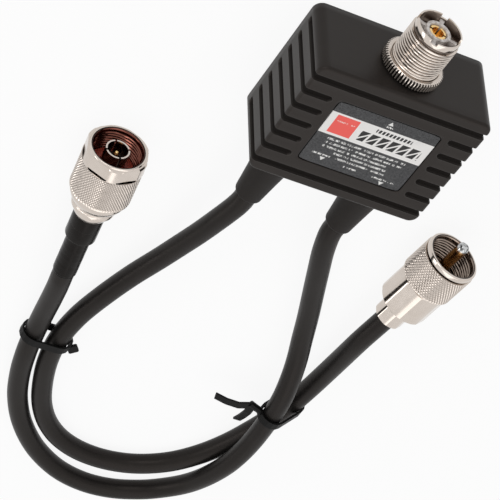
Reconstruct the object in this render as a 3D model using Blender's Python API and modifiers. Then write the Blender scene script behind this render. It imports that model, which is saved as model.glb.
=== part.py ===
"""Antenna duplexer: a ribbed moulded box with a threaded antenna socket and two coaxial leads.

The box lies on its back. +X runs along the label's long side, +Y out of the antenna socket and
+Z out of the label. The origin is the centre of the housing's back face, at floor level.
All sizes are in metres.
"""
import math

import bmesh
import bpy
from mathutils import Matrix, Vector

# Clearances between pieces
GAP = 0.0003
OVERLAP = 0.0005
FLOOR_CLEARANCE = 0.0001

# Small edges that are broken the same way on every turned piece
EDGE_BREAK = 0.0003
EDGE_SLOPE = 0.0002

# Housing
HOUSING_WIDTH = 0.0588
HOUSING_HEIGHT = 0.0471
HOUSING_DEPTH = 0.028
WALL = 0.0026
CORNER_RADIUS = 0.0032
FRONT_EDGE_RADIUS = 0.0012
CORNER_STEPS = 5
EDGE_STEPS = 3

# Grooves that wrap round the housing's ends
GROOVE_PITCH = 0.00625
GROOVES_EACH_SIDE = 3
GROOVE_RADIUS = 0.00125
GROOVE_STAND_OFF = 0.0002
GROOVE_START = 0.003
GROOVE_REACH = 0.0098
# Distance from a groove's rounded end, and its share of the radius there
GROOVE_END = ((0.0, 0.30), (0.0003, 0.78), (0.00115, 1.0))

# Back cover and its screws
COVER_THICKNESS = 0.002
COVER_LAND = 0.0012
BOSS_RADIUS = 0.0025
BOSS_INSET = 0.0046
SCREW_SHANK_RADIUS = 0.00095
SCREW_HEAD_RADIUS = 0.0021
SCREW_HEAD_HEIGHT = 0.0011
SCREW_LENGTH = 0.0095
SCREW_RECESS = 0.00015
SCREW_POINT_RADIUS = 0.00038
SCREW_POINT_LENGTH = 0.0014
PILOT_SPARE = 0.002
CROSS_WIDTH = 0.0005
CROSS_SPAN = 0.0024
CROSS_DEPTH = 0.0006

# Label, as wide as the face between the grooves allows
LABEL_BESIDE_GROOVES = 0.00245
LABEL_WIDTH = 2 * (HOUSING_WIDTH / 2 + GROOVE_STAND_OFF - GROOVE_REACH - LABEL_BESIDE_GROOVES)
LABEL_HEIGHT = 0.0263
LABEL_THICKNESS = 0.00035
LABEL_CORNER = 0.0014
LABEL_BELOW_FACE = 0.00015

# Antenna socket, measured outwards from the housing's top face, its axis a little off centre
SOCKET_X = 0.0011
SOCKET_ABOVE_BOOTS = 0.001
BOOT_Z = HOUSING_DEPTH / 2
SOCKET_Z = BOOT_Z + SOCKET_ABOVE_BOOTS
BARREL_RADIUS = 0.0079375
BARREL_LENGTH = 0.0176
BARREL_BORE = 0.0069
RIM_RADIUS = 0.0075
RIM_LENGTH = 0.0022
RIM_GROOVE_RADIUS = 0.0071
RIM_GROOVE_WIDTH = 0.0008
NOTCH_COUNT = 4
NOTCH_WIDTH = 0.0022
NOTCH_DEPTH = 0.0011
NOTCH_TURN = math.radians(20.0)
FLANGE_RADIUS = 0.0094
FLANGE_THICKNESS = 0.002
SOCKET_TAIL_BORE = 0.0055
RING_RADIUS = 0.00985
RING_HEIGHT = 0.0035
RING_TEETH = 60
TOOTH_DEPTH = 0.0004
RING_CHAMFER = 0.0004
CONTACT_RADIUS = 0.0028
CONTACT_BORE = 0.002
CONTACT_BORE_DEPTH = 0.011
CONTACT_BELOW_RIM = 0.0014
CONTACT_SLIT = 0.0005
CONTACT_SLIT_DEPTH = 0.006
HUB_RADIUS = 0.0042
HUB_BELOW_RIM = 0.0010
POCKET_DEPTH = 0.0046
RIB_WIDTH = 0.0012
RIB_BELOW_HUB = 0.0005
SOLDER_PIN_RADIUS = 0.0012
SOLDER_PIN_LENGTH = 0.0042

# Strain-relief boots on the bottom face
BOOT_BASE_RADIUS = 0.0072
BOOT_END_RADIUS = 0.0047
BOOT_LENGTH = 0.0232
BOOT_NECK_RADIUS = 0.0046
BOOT_FLANGE_RADIUS = 0.0053
BOOT_FLANGE_THICKNESS = 0.0018
BOOT_BASE_EDGE = 0.0006
BOOT_LIP_STEPS = 3
BOOT_BESIDE_BOSS = 0.0013
BOOT_X = (
    HOUSING_WIDTH / 2 - BOSS_INSET - BOSS_RADIUS - BOOT_BESIDE_BOSS - BOOT_NECK_RADIUS - GAP
)

# Cable
CABLE_DIAMETER = 0.00736
CABLE_RADIUS = CABLE_DIAMETER / 2
DIELECTRIC_RADIUS = 0.0024
CONDUCTOR_RADIUS = 0.0007
JACKET_STUB = 0.0022
DIELECTRIC_STUB = 0.003
CONDUCTOR_BEND = 0.0014
POINT_SPACING = 0.013
STRAIGHT_END = 0.003

# Circuit board, held between posts and clear of the bosses, wall and socket
BOARD_THICKNESS = 0.0016
BOARD_BELOW_BOOTS = 0.008
BOARD_HEIGHT = BOOT_Z - BOARD_BELOW_BOOTS
BOARD_CORNER = 0.001
BOARD_BESIDE_BOSS = 0.0021
BOARD_FROM_WALL = 0.00205
BOARD_FROM_FLANGE = 0.00175
BOARD_TOP = BOARD_HEIGHT + BOARD_THICKNESS + GAP
BOARD_WIDTH = HOUSING_WIDTH - 2 * (BOSS_INSET + BOSS_RADIUS + BOARD_BESIDE_BOSS)
BOARD_BOTTOM_Y = BOARD_FROM_WALL + WALL - HOUSING_HEIGHT / 2
BOARD_TOP_Y = HOUSING_HEIGHT / 2 - WALL - GAP - FLANGE_THICKNESS - BOARD_FROM_FLANGE
POST_RADIUS = 0.0016
POST_INSET = 0.0028
UPPER_POST_DOWN = 0.0035
LOWER_POST_UP = 0.0055
POST_BESIDE_BOOT = 0.0072

# Shield wall between the two halves of the filter
SHIELD_THICKNESS = 0.0005
SHIELD_BELOW_SHELL = 0.001
SHIELD_UP = 0.002
SHIELD_BELOW_LEAD = 0.0057
SHIELD_HEIGHT = HOUSING_DEPTH - WALL - BOARD_TOP - SHIELD_BELOW_SHELL

# Coils in rows beside the shield, counted down from the board's top edge
COIL_WIRE_RADIUS = 0.0005
COIL_TURNS = 3
COIL_PITCH = 0.0015
COIL_POINTS_PER_TURN = 6
COIL_LIFT = 0.0004
COIL_LEG_STEP = 0.0011
COIL_BESIDE_SHIELD = 0.0012
COIL_ROW_INSET = 0.0034
COIL_ROW_PITCH = 0.0066
LOW_COIL_RADIUS = 0.0024
HIGH_COIL_RADIUS = 0.0020

# Capacitors along the board's long edges
CAPACITOR_SIZE = (0.0038, 0.0024, 0.0042)
CAPACITOR_CORNER = 0.0007
CAPACITOR_EDGE = 0.0005
CAPACITOR_INSET = 0.0033
CAPACITOR_LEG = 0.0006
CAPACITOR_LEG_LENGTH = 0.0016
CAPACITOR_LEG_SPREAD = 0.0012
LOW_CAPACITOR_PITCH = 0.0066
HIGH_CAPACITOR_PITCH = 0.0048

# N plug, measured back from its rim
N_AXIS_TURN = math.radians(-8.3)
N_RIM_CENTRE = (-0.0594, -0.0496)
N_RIM_RADIUS = 0.0092
N_NUT_RADIUS = 0.0103
N_THREAD_RADIUS = 0.0079
N_HEX_FLATS = 0.0188
N_HEX_LENGTH = 0.0061
N_HEX_TURN = math.radians(-28.0)
N_KNURL_END = 0.0196
N_NUT_LENGTH = 0.0232
N_NUT_BACK_HOLE = 0.0066
N_BACK_WALL = 0.0018
N_RELIEF_DEPTH = 0.0004
N_THREAD_RUN_OUT = 0.0012
N_FRONT_CHAMFER = 0.0011
N_HEX_GROOVE_WIDTH = 0.0007
N_HEX_GROOVE_DEPTH = 0.0008
N_KNURL_CHAMFER = 0.0006
N_RING_STEP = 0.0009
N_RING_TAPER = 0.001
N_RING_TAPER_LENGTH = 0.0016
N_METAL_LENGTH = 0.0304
N_BODY_FLANGE = 0.0075
N_BODY_RADIUS = 0.0074
N_BODY_END_RADIUS = 0.0056
N_COLLAR_LENGTH = 0.0036
N_COLLAR_STEP = 0.0009
N_COLLAR_SLOPE = 0.0006
N_FACE_DEPTH = 0.0098
N_CONTACT_RADIUS = 0.00395
N_CONTACT_BORE = 0.00335
N_CONTACT_RECESS = 0.0007
N_CONTACT_SEAT = 0.0025
N_SLIT_WIDTH = 0.00045
N_SLIT_DEPTH = 0.0055
N_SLIT_TURN = math.radians(12.0)
N_GASKET_THICKNESS = 0.0015
N_PIN_RADIUS = 0.00082
N_PIN_RECESS = 0.0018
N_PIN_POINT_RADIUS = 0.00037
N_PIN_POINT_LENGTH = 0.0014
N_INSULATOR_DEPTH = 0.0066
N_SLEEVE_RADIUS = 0.0052
N_SLEEVE_LENGTH = 0.0116
N_SLEEVE_EDGE = 0.0005
N_SHRINK_RADIUS = 0.00405
N_SHRINK_LENGTH = 0.0175
N_SHRINK_EDGE = 0.0004

# UHF plug, measured back from its rim
UHF_AXIS_TURN = math.radians(6.5)
UHF_RIM_CENTRE = (0.0606, -0.0479)
UHF_RIM_RADIUS = 0.0095
UHF_SHELL_RADIUS = 0.0099
UHF_THREAD_RADIUS = 0.008
UHF_SHELL_LENGTH = 0.0143
UHF_SHELL_BACK_HOLE = 0.0073
UHF_BACK_WALL = 0.0018
UHF_BACK_CHAMFER = 0.0005
UHF_RELIEF_DEPTH = 0.0004
UHF_RELIEF_LENGTH = 0.003
UHF_RIM_LENGTH = 0.0018
UHF_RIM_GROOVE_WIDTH = 0.0004
UHF_FACE_DEPTH = 0.009
UHF_BODY_RADIUS = 0.007
UHF_RIDGE_RADIUS = 0.0079
UHF_RIDGE_LENGTH = 0.0023
UHF_OCTAGON_RADIUS = 0.0091
UHF_OCTAGON_TURN = math.radians(-28.0)
UHF_OCTAGON_END = 0.0274
FACET_CHAMFER = 0.0004
UHF_REDUCER_RADIUS = 0.00535
UHF_LENGTH = 0.0359
UHF_PIN_RADIUS = 0.002
UHF_PIN_PROUD = 0.0064
# Share of the pin's radius, and the distance below its tip
UHF_PIN_DOME = ((0.5, 0.0001), (0.85, 0.0005), (1.0, 0.0014))
UHF_INSULATOR_RADIUS = 0.0056
UHF_INSULATOR_THICKNESS = 0.0025

# Twist ties
TIE_WIDTH = 0.003
TIE_THICKNESS = 0.0008
TIE_CLEARANCE = 0.0005
TIE_ARC_STEPS = 8
LEFT_TIE_Y = -0.1493
RIGHT_TIE_Y = -0.1460
STUB_SIZE = (0.0036, 0.0034, 0.0011)
STUB_CORNER = 0.0004
STUB_PLACE = (0.0016, -0.0006, 0.0016)
STUB_TILT = 0.15
STUB_TURN = math.radians(38.0)
KNOT_REACH = 0.0012
KNOT_RISE = 0.001
TWIST_RADIUS = 0.0013
TWIST_PATH = [
    (0.0017, -0.0008, 0.0002), (0.0006, 0.0, 0.0),
    (-0.0018, 0.0009, -0.0001), (-0.0034, 0.0014, -0.0004),
]
TAIL_ROOT = (-0.0024, 0.0011, -0.0002)
TAIL_WIDTH = 0.00285
LONG_TAIL = [(0.0, 0.0), (0.005, 0.0006), (0.0093, -0.0006), (0.0132, -0.0026)]
LONG_TAIL_TURN = math.radians(196.0)
SHORT_TAIL = [(0.0, 0.0), (0.004, 0.0002), (0.008, -0.0008), (0.0119, -0.0022)]
SHORT_TAIL_TURN = math.radians(270.0)

# Routes of the two cables between their boots and plugs. They are drawn from this place of a
# boot's end, and their first points move with it.
ROUTE_START = (0.0161, -0.04705, 0.014)
LEAD_IN_POINTS = 6
LOW_ROUTE = [
    (-0.0166, -0.0543, 0.0138), (-0.0180, -0.0625, 0.0128), (-0.0196, -0.0730, 0.0109),
    (-0.0215, -0.0829, 0.0091), (-0.0239, -0.0935, 0.0075), (-0.0278, -0.1074, 0.0060),
    (-0.0318, -0.1229, 0.0052), (-0.0344, -0.1358, 0.0049), (-0.0352, -0.1486, 0.0049),
    (-0.0336, -0.1611, 0.0046), (-0.0300, -0.1737, 0.0041), (-0.0253, -0.1851, 0.0038),
    (-0.0190, -0.1944, 0.0038), (-0.0108, -0.2013, 0.0038), (-0.0008, -0.2052, 0.0038),
    (0.0102, -0.2058, 0.0038), (0.0209, -0.2031, 0.0038), (0.0308, -0.1969, 0.0038),
    (0.0386, -0.1880, 0.0038), (0.0443, -0.1776, 0.0040), (0.0482, -0.1664, 0.0045),
    (0.0513, -0.1555, 0.0049), (0.0535, -0.1462, 0.0049), (0.0550, -0.1363, 0.0048),
    (0.0556, -0.1245, 0.0056), (0.0553, -0.1114, 0.0076), (0.0550, -0.0990, 0.0095),
]
HIGH_ROUTE = [
    (0.0168, -0.0540, 0.0138), (0.0192, -0.0617, 0.0131), (0.0228, -0.0709, 0.0120),
    (0.0276, -0.0828, 0.0104), (0.0331, -0.0967, 0.0091), (0.0372, -0.1083, 0.0089),
    (0.0405, -0.1182, 0.0098), (0.0429, -0.1278, 0.0112), (0.0446, -0.1376, 0.0125),
    (0.0457, -0.1496, 0.0129), (0.0462, -0.1638, 0.0129), (0.0452, -0.1768, 0.0126),
    (0.0432, -0.1895, 0.0106), (0.0402, -0.2010, 0.0078), (0.0351, -0.2103, 0.0054),
    (0.0280, -0.2171, 0.0041), (0.0181, -0.2212, 0.0038), (0.0069, -0.2217, 0.0038),
    (-0.0049, -0.2182, 0.0038), (-0.0169, -0.2100, 0.0038), (-0.0271, -0.1984, 0.0038),
    (-0.0344, -0.1856, 0.0039), (-0.0391, -0.1727, 0.0043), (-0.0422, -0.1601, 0.0049),
    (-0.0440, -0.1490, 0.0049), (-0.0456, -0.1382, 0.0058), (-0.0473, -0.1279, 0.0077),
    (-0.0490, -0.1185, 0.0095),
]

# Colours: base colour, roughness, metallic
FINISHES = {
    "black_moulding": ((0.022, 0.021, 0.021), 0.45, 0.0),
    "cable_jacket": ((0.020, 0.019, 0.019), 0.42, 0.0),
    "black_rubber": ((0.015, 0.015, 0.014), 0.6, 0.0),
    "label_face": ((0.085, 0.083, 0.082), 0.5, 0.0),
    "nickel": ((0.66, 0.62, 0.58), 0.28, 1.0),
    "gold": ((0.83, 0.56, 0.22), 0.25, 1.0),
    "clear_insulator": ((0.72, 0.70, 0.66), 0.3, 0.0),
    "white_insulator": ((0.80, 0.79, 0.76), 0.4, 0.0),
    "red_gasket": ((0.32, 0.05, 0.03), 0.55, 0.0),
    "screw_steel": ((0.25, 0.25, 0.26), 0.35, 1.0),
    "board": ((0.04, 0.16, 0.07), 0.5, 0.0),
    "copper_wire": ((0.72, 0.36, 0.20), 0.3, 1.0),
    "capacitor": ((0.55, 0.32, 0.10), 0.5, 0.0),
}


def clear_scene():
    """Remove every object that the file opened with."""
    for obj in list(bpy.data.objects):
        bpy.data.objects.remove(obj, do_unlink=True)


def turn_about_z(angle):
    """Rotation matrix about Z."""
    return Matrix.Rotation(angle, 3, "Z")


def make_collection(name):
    """A collection linked to the scene."""
    collection = bpy.data.collections.new(name)
    bpy.context.scene.collection.children.link(collection)
    return collection


def make_materials():
    """One Principled material for each finish."""
    made = {}
    for name, (colour, roughness, metallic) in FINISHES.items():
        material = bpy.data.materials.new(name)
        material.use_nodes = True
        shader = material.node_tree.nodes["Principled BSDF"]
        shader.inputs["Base Color"].default_value = (*colour, 1.0)
        shader.inputs["Roughness"].default_value = roughness
        shader.inputs["Metallic"].default_value = metallic
        material.diffuse_color = (*colour, 1.0)
        made[name] = material
    return made


clear_scene()
PARTS = make_collection("rf_duplexer")
CUTTERS = make_collection("cutters")
MATERIALS = make_materials()


def add_part(name, data, finish, parent=None):
    """Link a finished piece under its node name."""
    obj = bpy.data.objects.new(name, data)
    PARTS.objects.link(obj)
    data.materials.append(MATERIALS[finish])
    obj.parent = parent
    return obj


def add_cutter(name, data, parent=None):
    """Link a shape that only cuts or joins, kept out of the build."""
    obj = bpy.data.objects.new(name, data)
    CUTTERS.objects.link(obj)
    obj.parent = parent
    obj.hide_render = True
    obj.display_type = "WIRE"
    return obj


def make_frame(name, location, turn):
    """An empty whose +Z points along a plug's or socket's axis, turned from +Y towards +X."""
    frame = bpy.data.objects.new(name, None)
    PARTS.objects.link(frame)
    frame.location = location
    frame.rotation_euler = (-math.pi / 2, 0.0, -turn)
    frame.empty_display_size = 0.01
    return frame


def boolean(target, tool, operation="DIFFERENCE"):
    """Cut, join or trim a piece with another shape."""
    modifier = target.modifiers.new(tool.name, "BOOLEAN")
    modifier.operation = operation
    modifier.solver = "EXACT"
    modifier.object = tool
    return modifier


def box_mesh(name, size, centre):
    """A plain block."""
    mesh = bpy.data.meshes.new(name)
    shape = bmesh.new()
    bmesh.ops.create_cube(shape, size=1.0)
    bmesh.ops.scale(shape, vec=Vector(size), verts=shape.verts)
    bmesh.ops.translate(shape, vec=Vector(centre), verts=shape.verts)
    shape.to_mesh(mesh)
    shape.free()
    return mesh


def rounded_block(name, size, centre, corner, top_edge=0.0, steps=3):
    """A block with rounded upright corners and, where asked, a rounded top perimeter."""
    mesh = bpy.data.meshes.new(name)
    shape = bmesh.new()
    bmesh.ops.create_cube(shape, size=1.0)
    bmesh.ops.scale(shape, vec=Vector(size), verts=shape.verts)
    upright = [e for e in shape.edges if abs((e.verts[0].co - e.verts[1].co).z) > size[2] / 2]
    bmesh.ops.bevel(
        shape, geom=upright, offset=corner, segments=steps, profile=0.5, affect="EDGES"
    )
    if top_edge > 0.0:
        top = [e for e in shape.edges if min(v.co.z for v in e.verts) > size[2] / 2 - OVERLAP]
        bmesh.ops.bevel(
            shape, geom=top, offset=top_edge, segments=min(steps, EDGE_STEPS), affect="EDGES"
        )
    bmesh.ops.translate(shape, vec=Vector(centre), verts=shape.verts)
    shape.to_mesh(mesh)
    shape.free()
    return mesh


def cylinder_mesh(name, radius, low, high, centre=(0.0, 0.0), sides=32, turn=0.0):
    """A cylinder or prism along Z between two heights, its first corner turned from +X."""
    mesh = bpy.data.meshes.new(name)
    shape = bmesh.new()
    bmesh.ops.create_cone(
        shape, cap_ends=True, segments=sides, radius1=radius, radius2=radius, depth=high - low
    )
    # create_cone puts its first corner on +Y
    bmesh.ops.rotate(
        shape, cent=(0, 0, 0), matrix=turn_about_z(turn - math.pi / 2), verts=shape.verts
    )
    bmesh.ops.translate(
        shape, vec=Vector((centre[0], centre[1], (low + high) / 2)), verts=shape.verts
    )
    shape.to_mesh(mesh)
    shape.free()
    return mesh


def turned(name, profile, finish, parent=None, steps=32):
    """A turned piece: a profile of (radius, height) points swept about Z.

    The profile runs down the outer side. One that starts and ends on the axis is solid; any
    other is closed back to its first point and makes a ring.
    """
    mesh = bpy.data.meshes.new(name)
    points = [(radius, 0.0, height) for radius, height in profile]
    count = len(points)
    edges = [(i, i + 1) for i in range(count - 1)]
    if profile[0][0] > 0.0:
        edges.append((count - 1, 0))
    mesh.from_pydata(points, edges, [])
    obj = add_part(name, mesh, finish, parent) if finish else add_cutter(name, mesh, parent)
    screw = obj.modifiers.new("turn", "SCREW")
    screw.axis = "Z"
    screw.angle = 2 * math.pi
    screw.screw_offset = 0.0
    screw.steps = steps
    screw.render_steps = steps
    screw.use_merge_vertices = True
    screw.merge_threshold = 0.00001
    screw.use_smooth_shade = True
    return obj


def polyline_curve(name, points, radius, bevel_resolution=2, tapers=None):
    """A round wire or cable through the points, with filled ends."""
    curve = bpy.data.curves.new(name, "CURVE")
    curve.dimensions = "3D"
    curve.bevel_depth = radius
    curve.bevel_resolution = bevel_resolution
    curve.use_fill_caps = True
    spline = curve.splines.new("POLY")
    spline.points.add(len(points) - 1)
    for index, point in enumerate(points):
        spline.points[index].co = (*point, 1.0)
        spline.points[index].radius = tapers[index] if tapers else 1.0
    return curve


def flat_curve(name, outlines, thickness):
    """A flat plate in its own XY plane: the first outline is its edge, the others are holes."""
    curve = bpy.data.curves.new(name, "CURVE")
    curve.dimensions = "2D"
    curve.fill_mode = "BOTH"
    curve.extrude = thickness / 2
    for outline in outlines:
        spline = curve.splines.new("POLY")
        spline.points.add(len(outline) - 1)
        for index, (x, y) in enumerate(outline):
            spline.points[index].co = (x, y, 0.0, 1.0)
        spline.use_cyclic_u = True
    return curve


def mesh_of_curve(curve, name):
    """The closed mesh of a curve, its caps welded on."""
    guide = bpy.data.objects.new(name + "_guide", curve)
    CUTTERS.objects.link(guide)
    bpy.context.view_layer.update()
    depsgraph = bpy.context.evaluated_depsgraph_get()
    mesh = bpy.data.meshes.new_from_object(guide.evaluated_get(depsgraph))
    mesh.name = name
    bpy.data.objects.remove(guide, do_unlink=True)
    shape = bmesh.new()
    shape.from_mesh(mesh)
    bmesh.ops.remove_doubles(shape, verts=shape.verts, dist=0.000002)
    bmesh.ops.recalc_face_normals(shape, faces=shape.faces)
    shape.to_mesh(mesh)
    shape.free()
    mesh.materials.clear()
    return mesh


def join_meshes(name, meshes):
    """Several separate shapes as one mesh, for one cutter."""
    joined = bpy.data.meshes.new(name)
    shape = bmesh.new()
    for mesh in meshes:
        shape.from_mesh(mesh)
    shape.to_mesh(joined)
    shape.free()
    return joined


def circle_outline(radius, steps, turn=0.0):
    """Points round a circle, or the corners of a polygon."""
    angles = [turn + 2 * math.pi * i / steps for i in range(steps)]
    return [(radius * math.cos(a), radius * math.sin(a)) for a in angles]


# Housing


def groove_curves():
    """Half-round grooves: each runs up an end face and wraps over the front edge.

    The outermost pair crosses the whole label face. The others stop short with rounded ends,
    which the points' radii draw in.
    """
    meshes = []
    side = HOUSING_WIDTH / 2 + GROOVE_STAND_OFF
    top = HOUSING_DEPTH + GROOVE_STAND_OFF
    for step in range(-GROOVES_EACH_SIDE, GROOVES_EACH_SIDE + 1):
        y = step * GROOVE_PITCH
        starts = [((-side, y, GROOVE_START + along), size) for along, size in GROOVE_END]
        if abs(step) == GROOVES_EACH_SIDE:
            path = starts + [((-side, y, top), 1.0), ((side, y, top), 1.0)]
            path += [((side, y, GROOVE_START + along), size) for along, size in reversed(GROOVE_END)]
            paths = [path]
        else:
            tip = side - GROOVE_REACH
            left = starts + [((-side, y, top), 1.0)]
            left += [((-tip - along, y, top), size) for along, size in reversed(GROOVE_END)]
            right = [((-x, yy, z), size) for (x, yy, z), size in left]
            paths = [left, right]
        for path in paths:
            points = [point for point, size in path]
            sizes = [size for point, size in path]
            curve = polyline_curve("groove", points, GROOVE_RADIUS, 2, sizes)
            meshes.append(mesh_of_curve(curve, "groove"))
    return join_meshes("grooves", meshes)


def boss_centres():
    """Where the four cover screws go."""
    x = HOUSING_WIDTH / 2 - BOSS_INSET
    y = HOUSING_HEIGHT / 2 - BOSS_INSET
    return [(sx * x, sy * y) for sx in (-1, 1) for sy in (-1, 1)]


def post_centres():
    """Where the board is held between the shell and the cover."""
    upper = (BOARD_WIDTH / 2 - POST_INSET, BOARD_TOP_Y - UPPER_POST_DOWN)
    lower = (BOOT_X - POST_BESIDE_BOOT, BOARD_BOTTOM_Y + LOWER_POST_UP)
    return [(side * x, y) for x, y in (upper, lower) for side in (-1, 1)]


def build_housing():
    """The ribbed shell, open at the back."""
    size = (HOUSING_WIDTH, HOUSING_HEIGHT, HOUSING_DEPTH)
    middle = (0, 0, HOUSING_DEPTH / 2)
    mesh = rounded_block(
        "housing_shell", size, middle, CORNER_RADIUS, FRONT_EDGE_RADIUS, CORNER_STEPS
    )
    shell = add_part("housing_shell", mesh, "black_moulding")
    inside_top = HOUSING_DEPTH - WALL
    cavity_depth = inside_top + WALL
    cavity = rounded_block(
        "cavity",
        (HOUSING_WIDTH - 2 * WALL, HOUSING_HEIGHT - 2 * WALL, cavity_depth),
        (0, 0, inside_top - cavity_depth / 2),
        CORNER_RADIUS - WALL / 2,
    )
    boolean(shell, add_cutter("cavity", cavity))
    seat_depth = COVER_THICKNESS + GAP
    seat_edge = WALL - COVER_LAND
    seat = rounded_block(
        "cover_seat",
        (HOUSING_WIDTH - 2 * seat_edge, HOUSING_HEIGHT - 2 * seat_edge, 2 * seat_depth),
        (0, 0, 0),
        CORNER_RADIUS - seat_edge,
    )
    boolean(shell, add_cutter("cover_seat", seat))
    into_shell = inside_top + OVERLAP
    for index, centre in enumerate(boss_centres()):
        boss = cylinder_mesh("boss", BOSS_RADIUS, seat_depth + GAP, into_shell, centre, 14)
        boolean(shell, add_cutter(f"boss_{index}", boss), "UNION")
    for index, centre in enumerate(post_centres()):
        post = cylinder_mesh("post", POST_RADIUS, BOARD_TOP, into_shell, centre, 10)
        boolean(shell, add_cutter(f"post_{index}", post), "UNION")
    pilot_end = SCREW_LENGTH + PILOT_SPARE
    pilots = [
        cylinder_mesh("pilot", SCREW_SHANK_RADIUS + GAP, 0.0, pilot_end, centre, 10)
        for centre in boss_centres()
    ]
    boolean(shell, add_cutter("pilots", join_meshes("pilots", pilots)))
    boolean(shell, add_cutter("grooves", groove_curves()))
    recess_depth = LABEL_THICKNESS + LABEL_BELOW_FACE + GAP
    recess = rounded_block(
        "label_recess",
        (LABEL_WIDTH + 2 * GAP, LABEL_HEIGHT + 2 * GAP, 2 * recess_depth),
        (0, 0, HOUSING_DEPTH),
        LABEL_CORNER + GAP,
    )
    boolean(shell, add_cutter("label_recess", recess))
    wall_holes(shell)
    return shell


def socket_frame(name):
    """The antenna socket's axis, from the housing's top face outwards."""
    return make_frame(name, (SOCKET_X, HOUSING_HEIGHT / 2, SOCKET_Z), 0.0)


def boot_frame(name, x):
    """A boot's axis, from the housing's bottom face outwards."""
    return make_frame(name, (x, -HOUSING_HEIGHT / 2, BOOT_Z), math.pi)


def wall_holes(shell):
    """The round holes for the antenna socket and the two boots."""
    top = socket_frame("socket_hole_frame")
    hole = cylinder_mesh("socket_hole", BARREL_RADIUS + GAP, -2 * WALL, WALL, sides=32)
    boolean(shell, add_cutter("socket_hole", hole, top))
    for name, x in (("low", -BOOT_X), ("high", BOOT_X)):
        frame = boot_frame(f"{name}_hole_frame", x)
        hole = cylinder_mesh("boot_hole", BOOT_NECK_RADIUS + GAP, -2 * WALL, WALL, sides=20)
        boolean(shell, add_cutter(f"{name}_boot_hole", hole, frame))


def build_cover():
    """The flat back plate, let into the shell, with countersunk holes and board stand-offs."""
    edge = WALL - COVER_LAND + GAP
    mesh = rounded_block(
        "back_cover",
        (HOUSING_WIDTH - 2 * edge, HOUSING_HEIGHT - 2 * edge, COVER_THICKNESS),
        (0, 0, COVER_THICKNESS / 2),
        CORNER_RADIUS - edge,
    )
    cover = add_part("back_cover", mesh, "black_moulding")
    for index, centre in enumerate(post_centres()):
        stand = cylinder_mesh(
            "stand_off", POST_RADIUS, COVER_THICKNESS - OVERLAP, BOARD_HEIGHT - GAP, centre, 10
        )
        boolean(cover, add_cutter(f"stand_off_{index}", stand), "UNION")
    for index, (x, y) in enumerate(boss_centres()):
        shank = SCREW_SHANK_RADIUS + GAP
        head = SCREW_HEAD_RADIUS + GAP
        top = COVER_THICKNESS + OVERLAP
        sink_end = SCREW_RECESS + SCREW_HEAD_HEIGHT
        profile = [(0, top), (shank, top), (shank, sink_end), (head, SCREW_RECESS)]
        profile += [(head, -OVERLAP), (0, -OVERLAP)]
        sink = turned(f"countersink_{index}", profile, None, steps=14)
        sink.location = (x, y, 0)
        boolean(cover, sink)
    return cover


def build_screws():
    """Four countersunk screws with a cross recess, heads just below the cover's face."""
    for index, (x, y) in enumerate(boss_centres()):
        low = SCREW_RECESS
        neck = low + SCREW_HEAD_HEIGHT
        profile = [
            (0, SCREW_LENGTH),
            (SCREW_POINT_RADIUS, SCREW_LENGTH),
            (SCREW_SHANK_RADIUS, SCREW_LENGTH - SCREW_POINT_LENGTH),
            (SCREW_SHANK_RADIUS, neck),
            (SCREW_HEAD_RADIUS, low + EDGE_SLOPE),
            (SCREW_HEAD_RADIUS, low),
            (0, low),
        ]
        screw = turned(f"cover_screw_{index + 1}", profile, "screw_steel", steps=10)
        screw.location = (x, y, 0)
        for turn, size in enumerate(((CROSS_SPAN, CROSS_WIDTH), (CROSS_WIDTH, CROSS_SPAN))):
            bar = box_mesh("cross", (*size, 2 * CROSS_DEPTH), (x, y, low))
            boolean(screw, add_cutter(f"cross_{index}_{turn}", bar))


def build_label():
    """The thin plate let into the front face."""
    top = HOUSING_DEPTH - LABEL_BELOW_FACE
    mesh = rounded_block(
        "front_label",
        (LABEL_WIDTH, LABEL_HEIGHT, LABEL_THICKNESS),
        (0, 0, top - LABEL_THICKNESS / 2),
        LABEL_CORNER,
    )
    add_part("front_label", mesh, "label_face")


# Antenna socket


def build_socket_body(frame):
    """Barrel with a smooth notched rim in front and a flange behind the housing's wall."""
    front = BARREL_LENGTH
    rim_back = front - RIM_LENGTH
    groove_back = rim_back - RIM_GROOVE_WIDTH
    inside = -(WALL + GAP)
    flange_back = inside - FLANGE_THICKNESS
    profile = [
        (BARREL_BORE, front),
        (RIM_RADIUS - EDGE_BREAK, front),
        (RIM_RADIUS, front - EDGE_BREAK),
        (RIM_RADIUS, rim_back),
        (RIM_GROOVE_RADIUS, rim_back),
        (RIM_GROOVE_RADIUS, groove_back),
        (BARREL_RADIUS - EDGE_BREAK, groove_back),
        (BARREL_RADIUS, groove_back - EDGE_BREAK),
        (BARREL_RADIUS, inside),
        (FLANGE_RADIUS, inside),
        (FLANGE_RADIUS, flange_back),
        (SOCKET_TAIL_BORE, flange_back),
        (SOCKET_TAIL_BORE, inside),
        (BARREL_BORE, inside),
    ]
    body = turned("antenna_socket_body", profile, "nickel", frame)
    notches = []
    size = (RIM_RADIUS, NOTCH_WIDTH, 2 * NOTCH_DEPTH)
    for index in range(NOTCH_COUNT):
        angle = -(NOTCH_TURN + 2 * math.pi * index / NOTCH_COUNT)
        block = box_mesh("notch", size, (RIM_RADIUS, 0, front))
        block.transform(turn_about_z(angle).to_4x4())
        notches.append(block)
    boolean(body, add_cutter("rim_notches", join_meshes("rim_notches", notches), frame))


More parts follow.
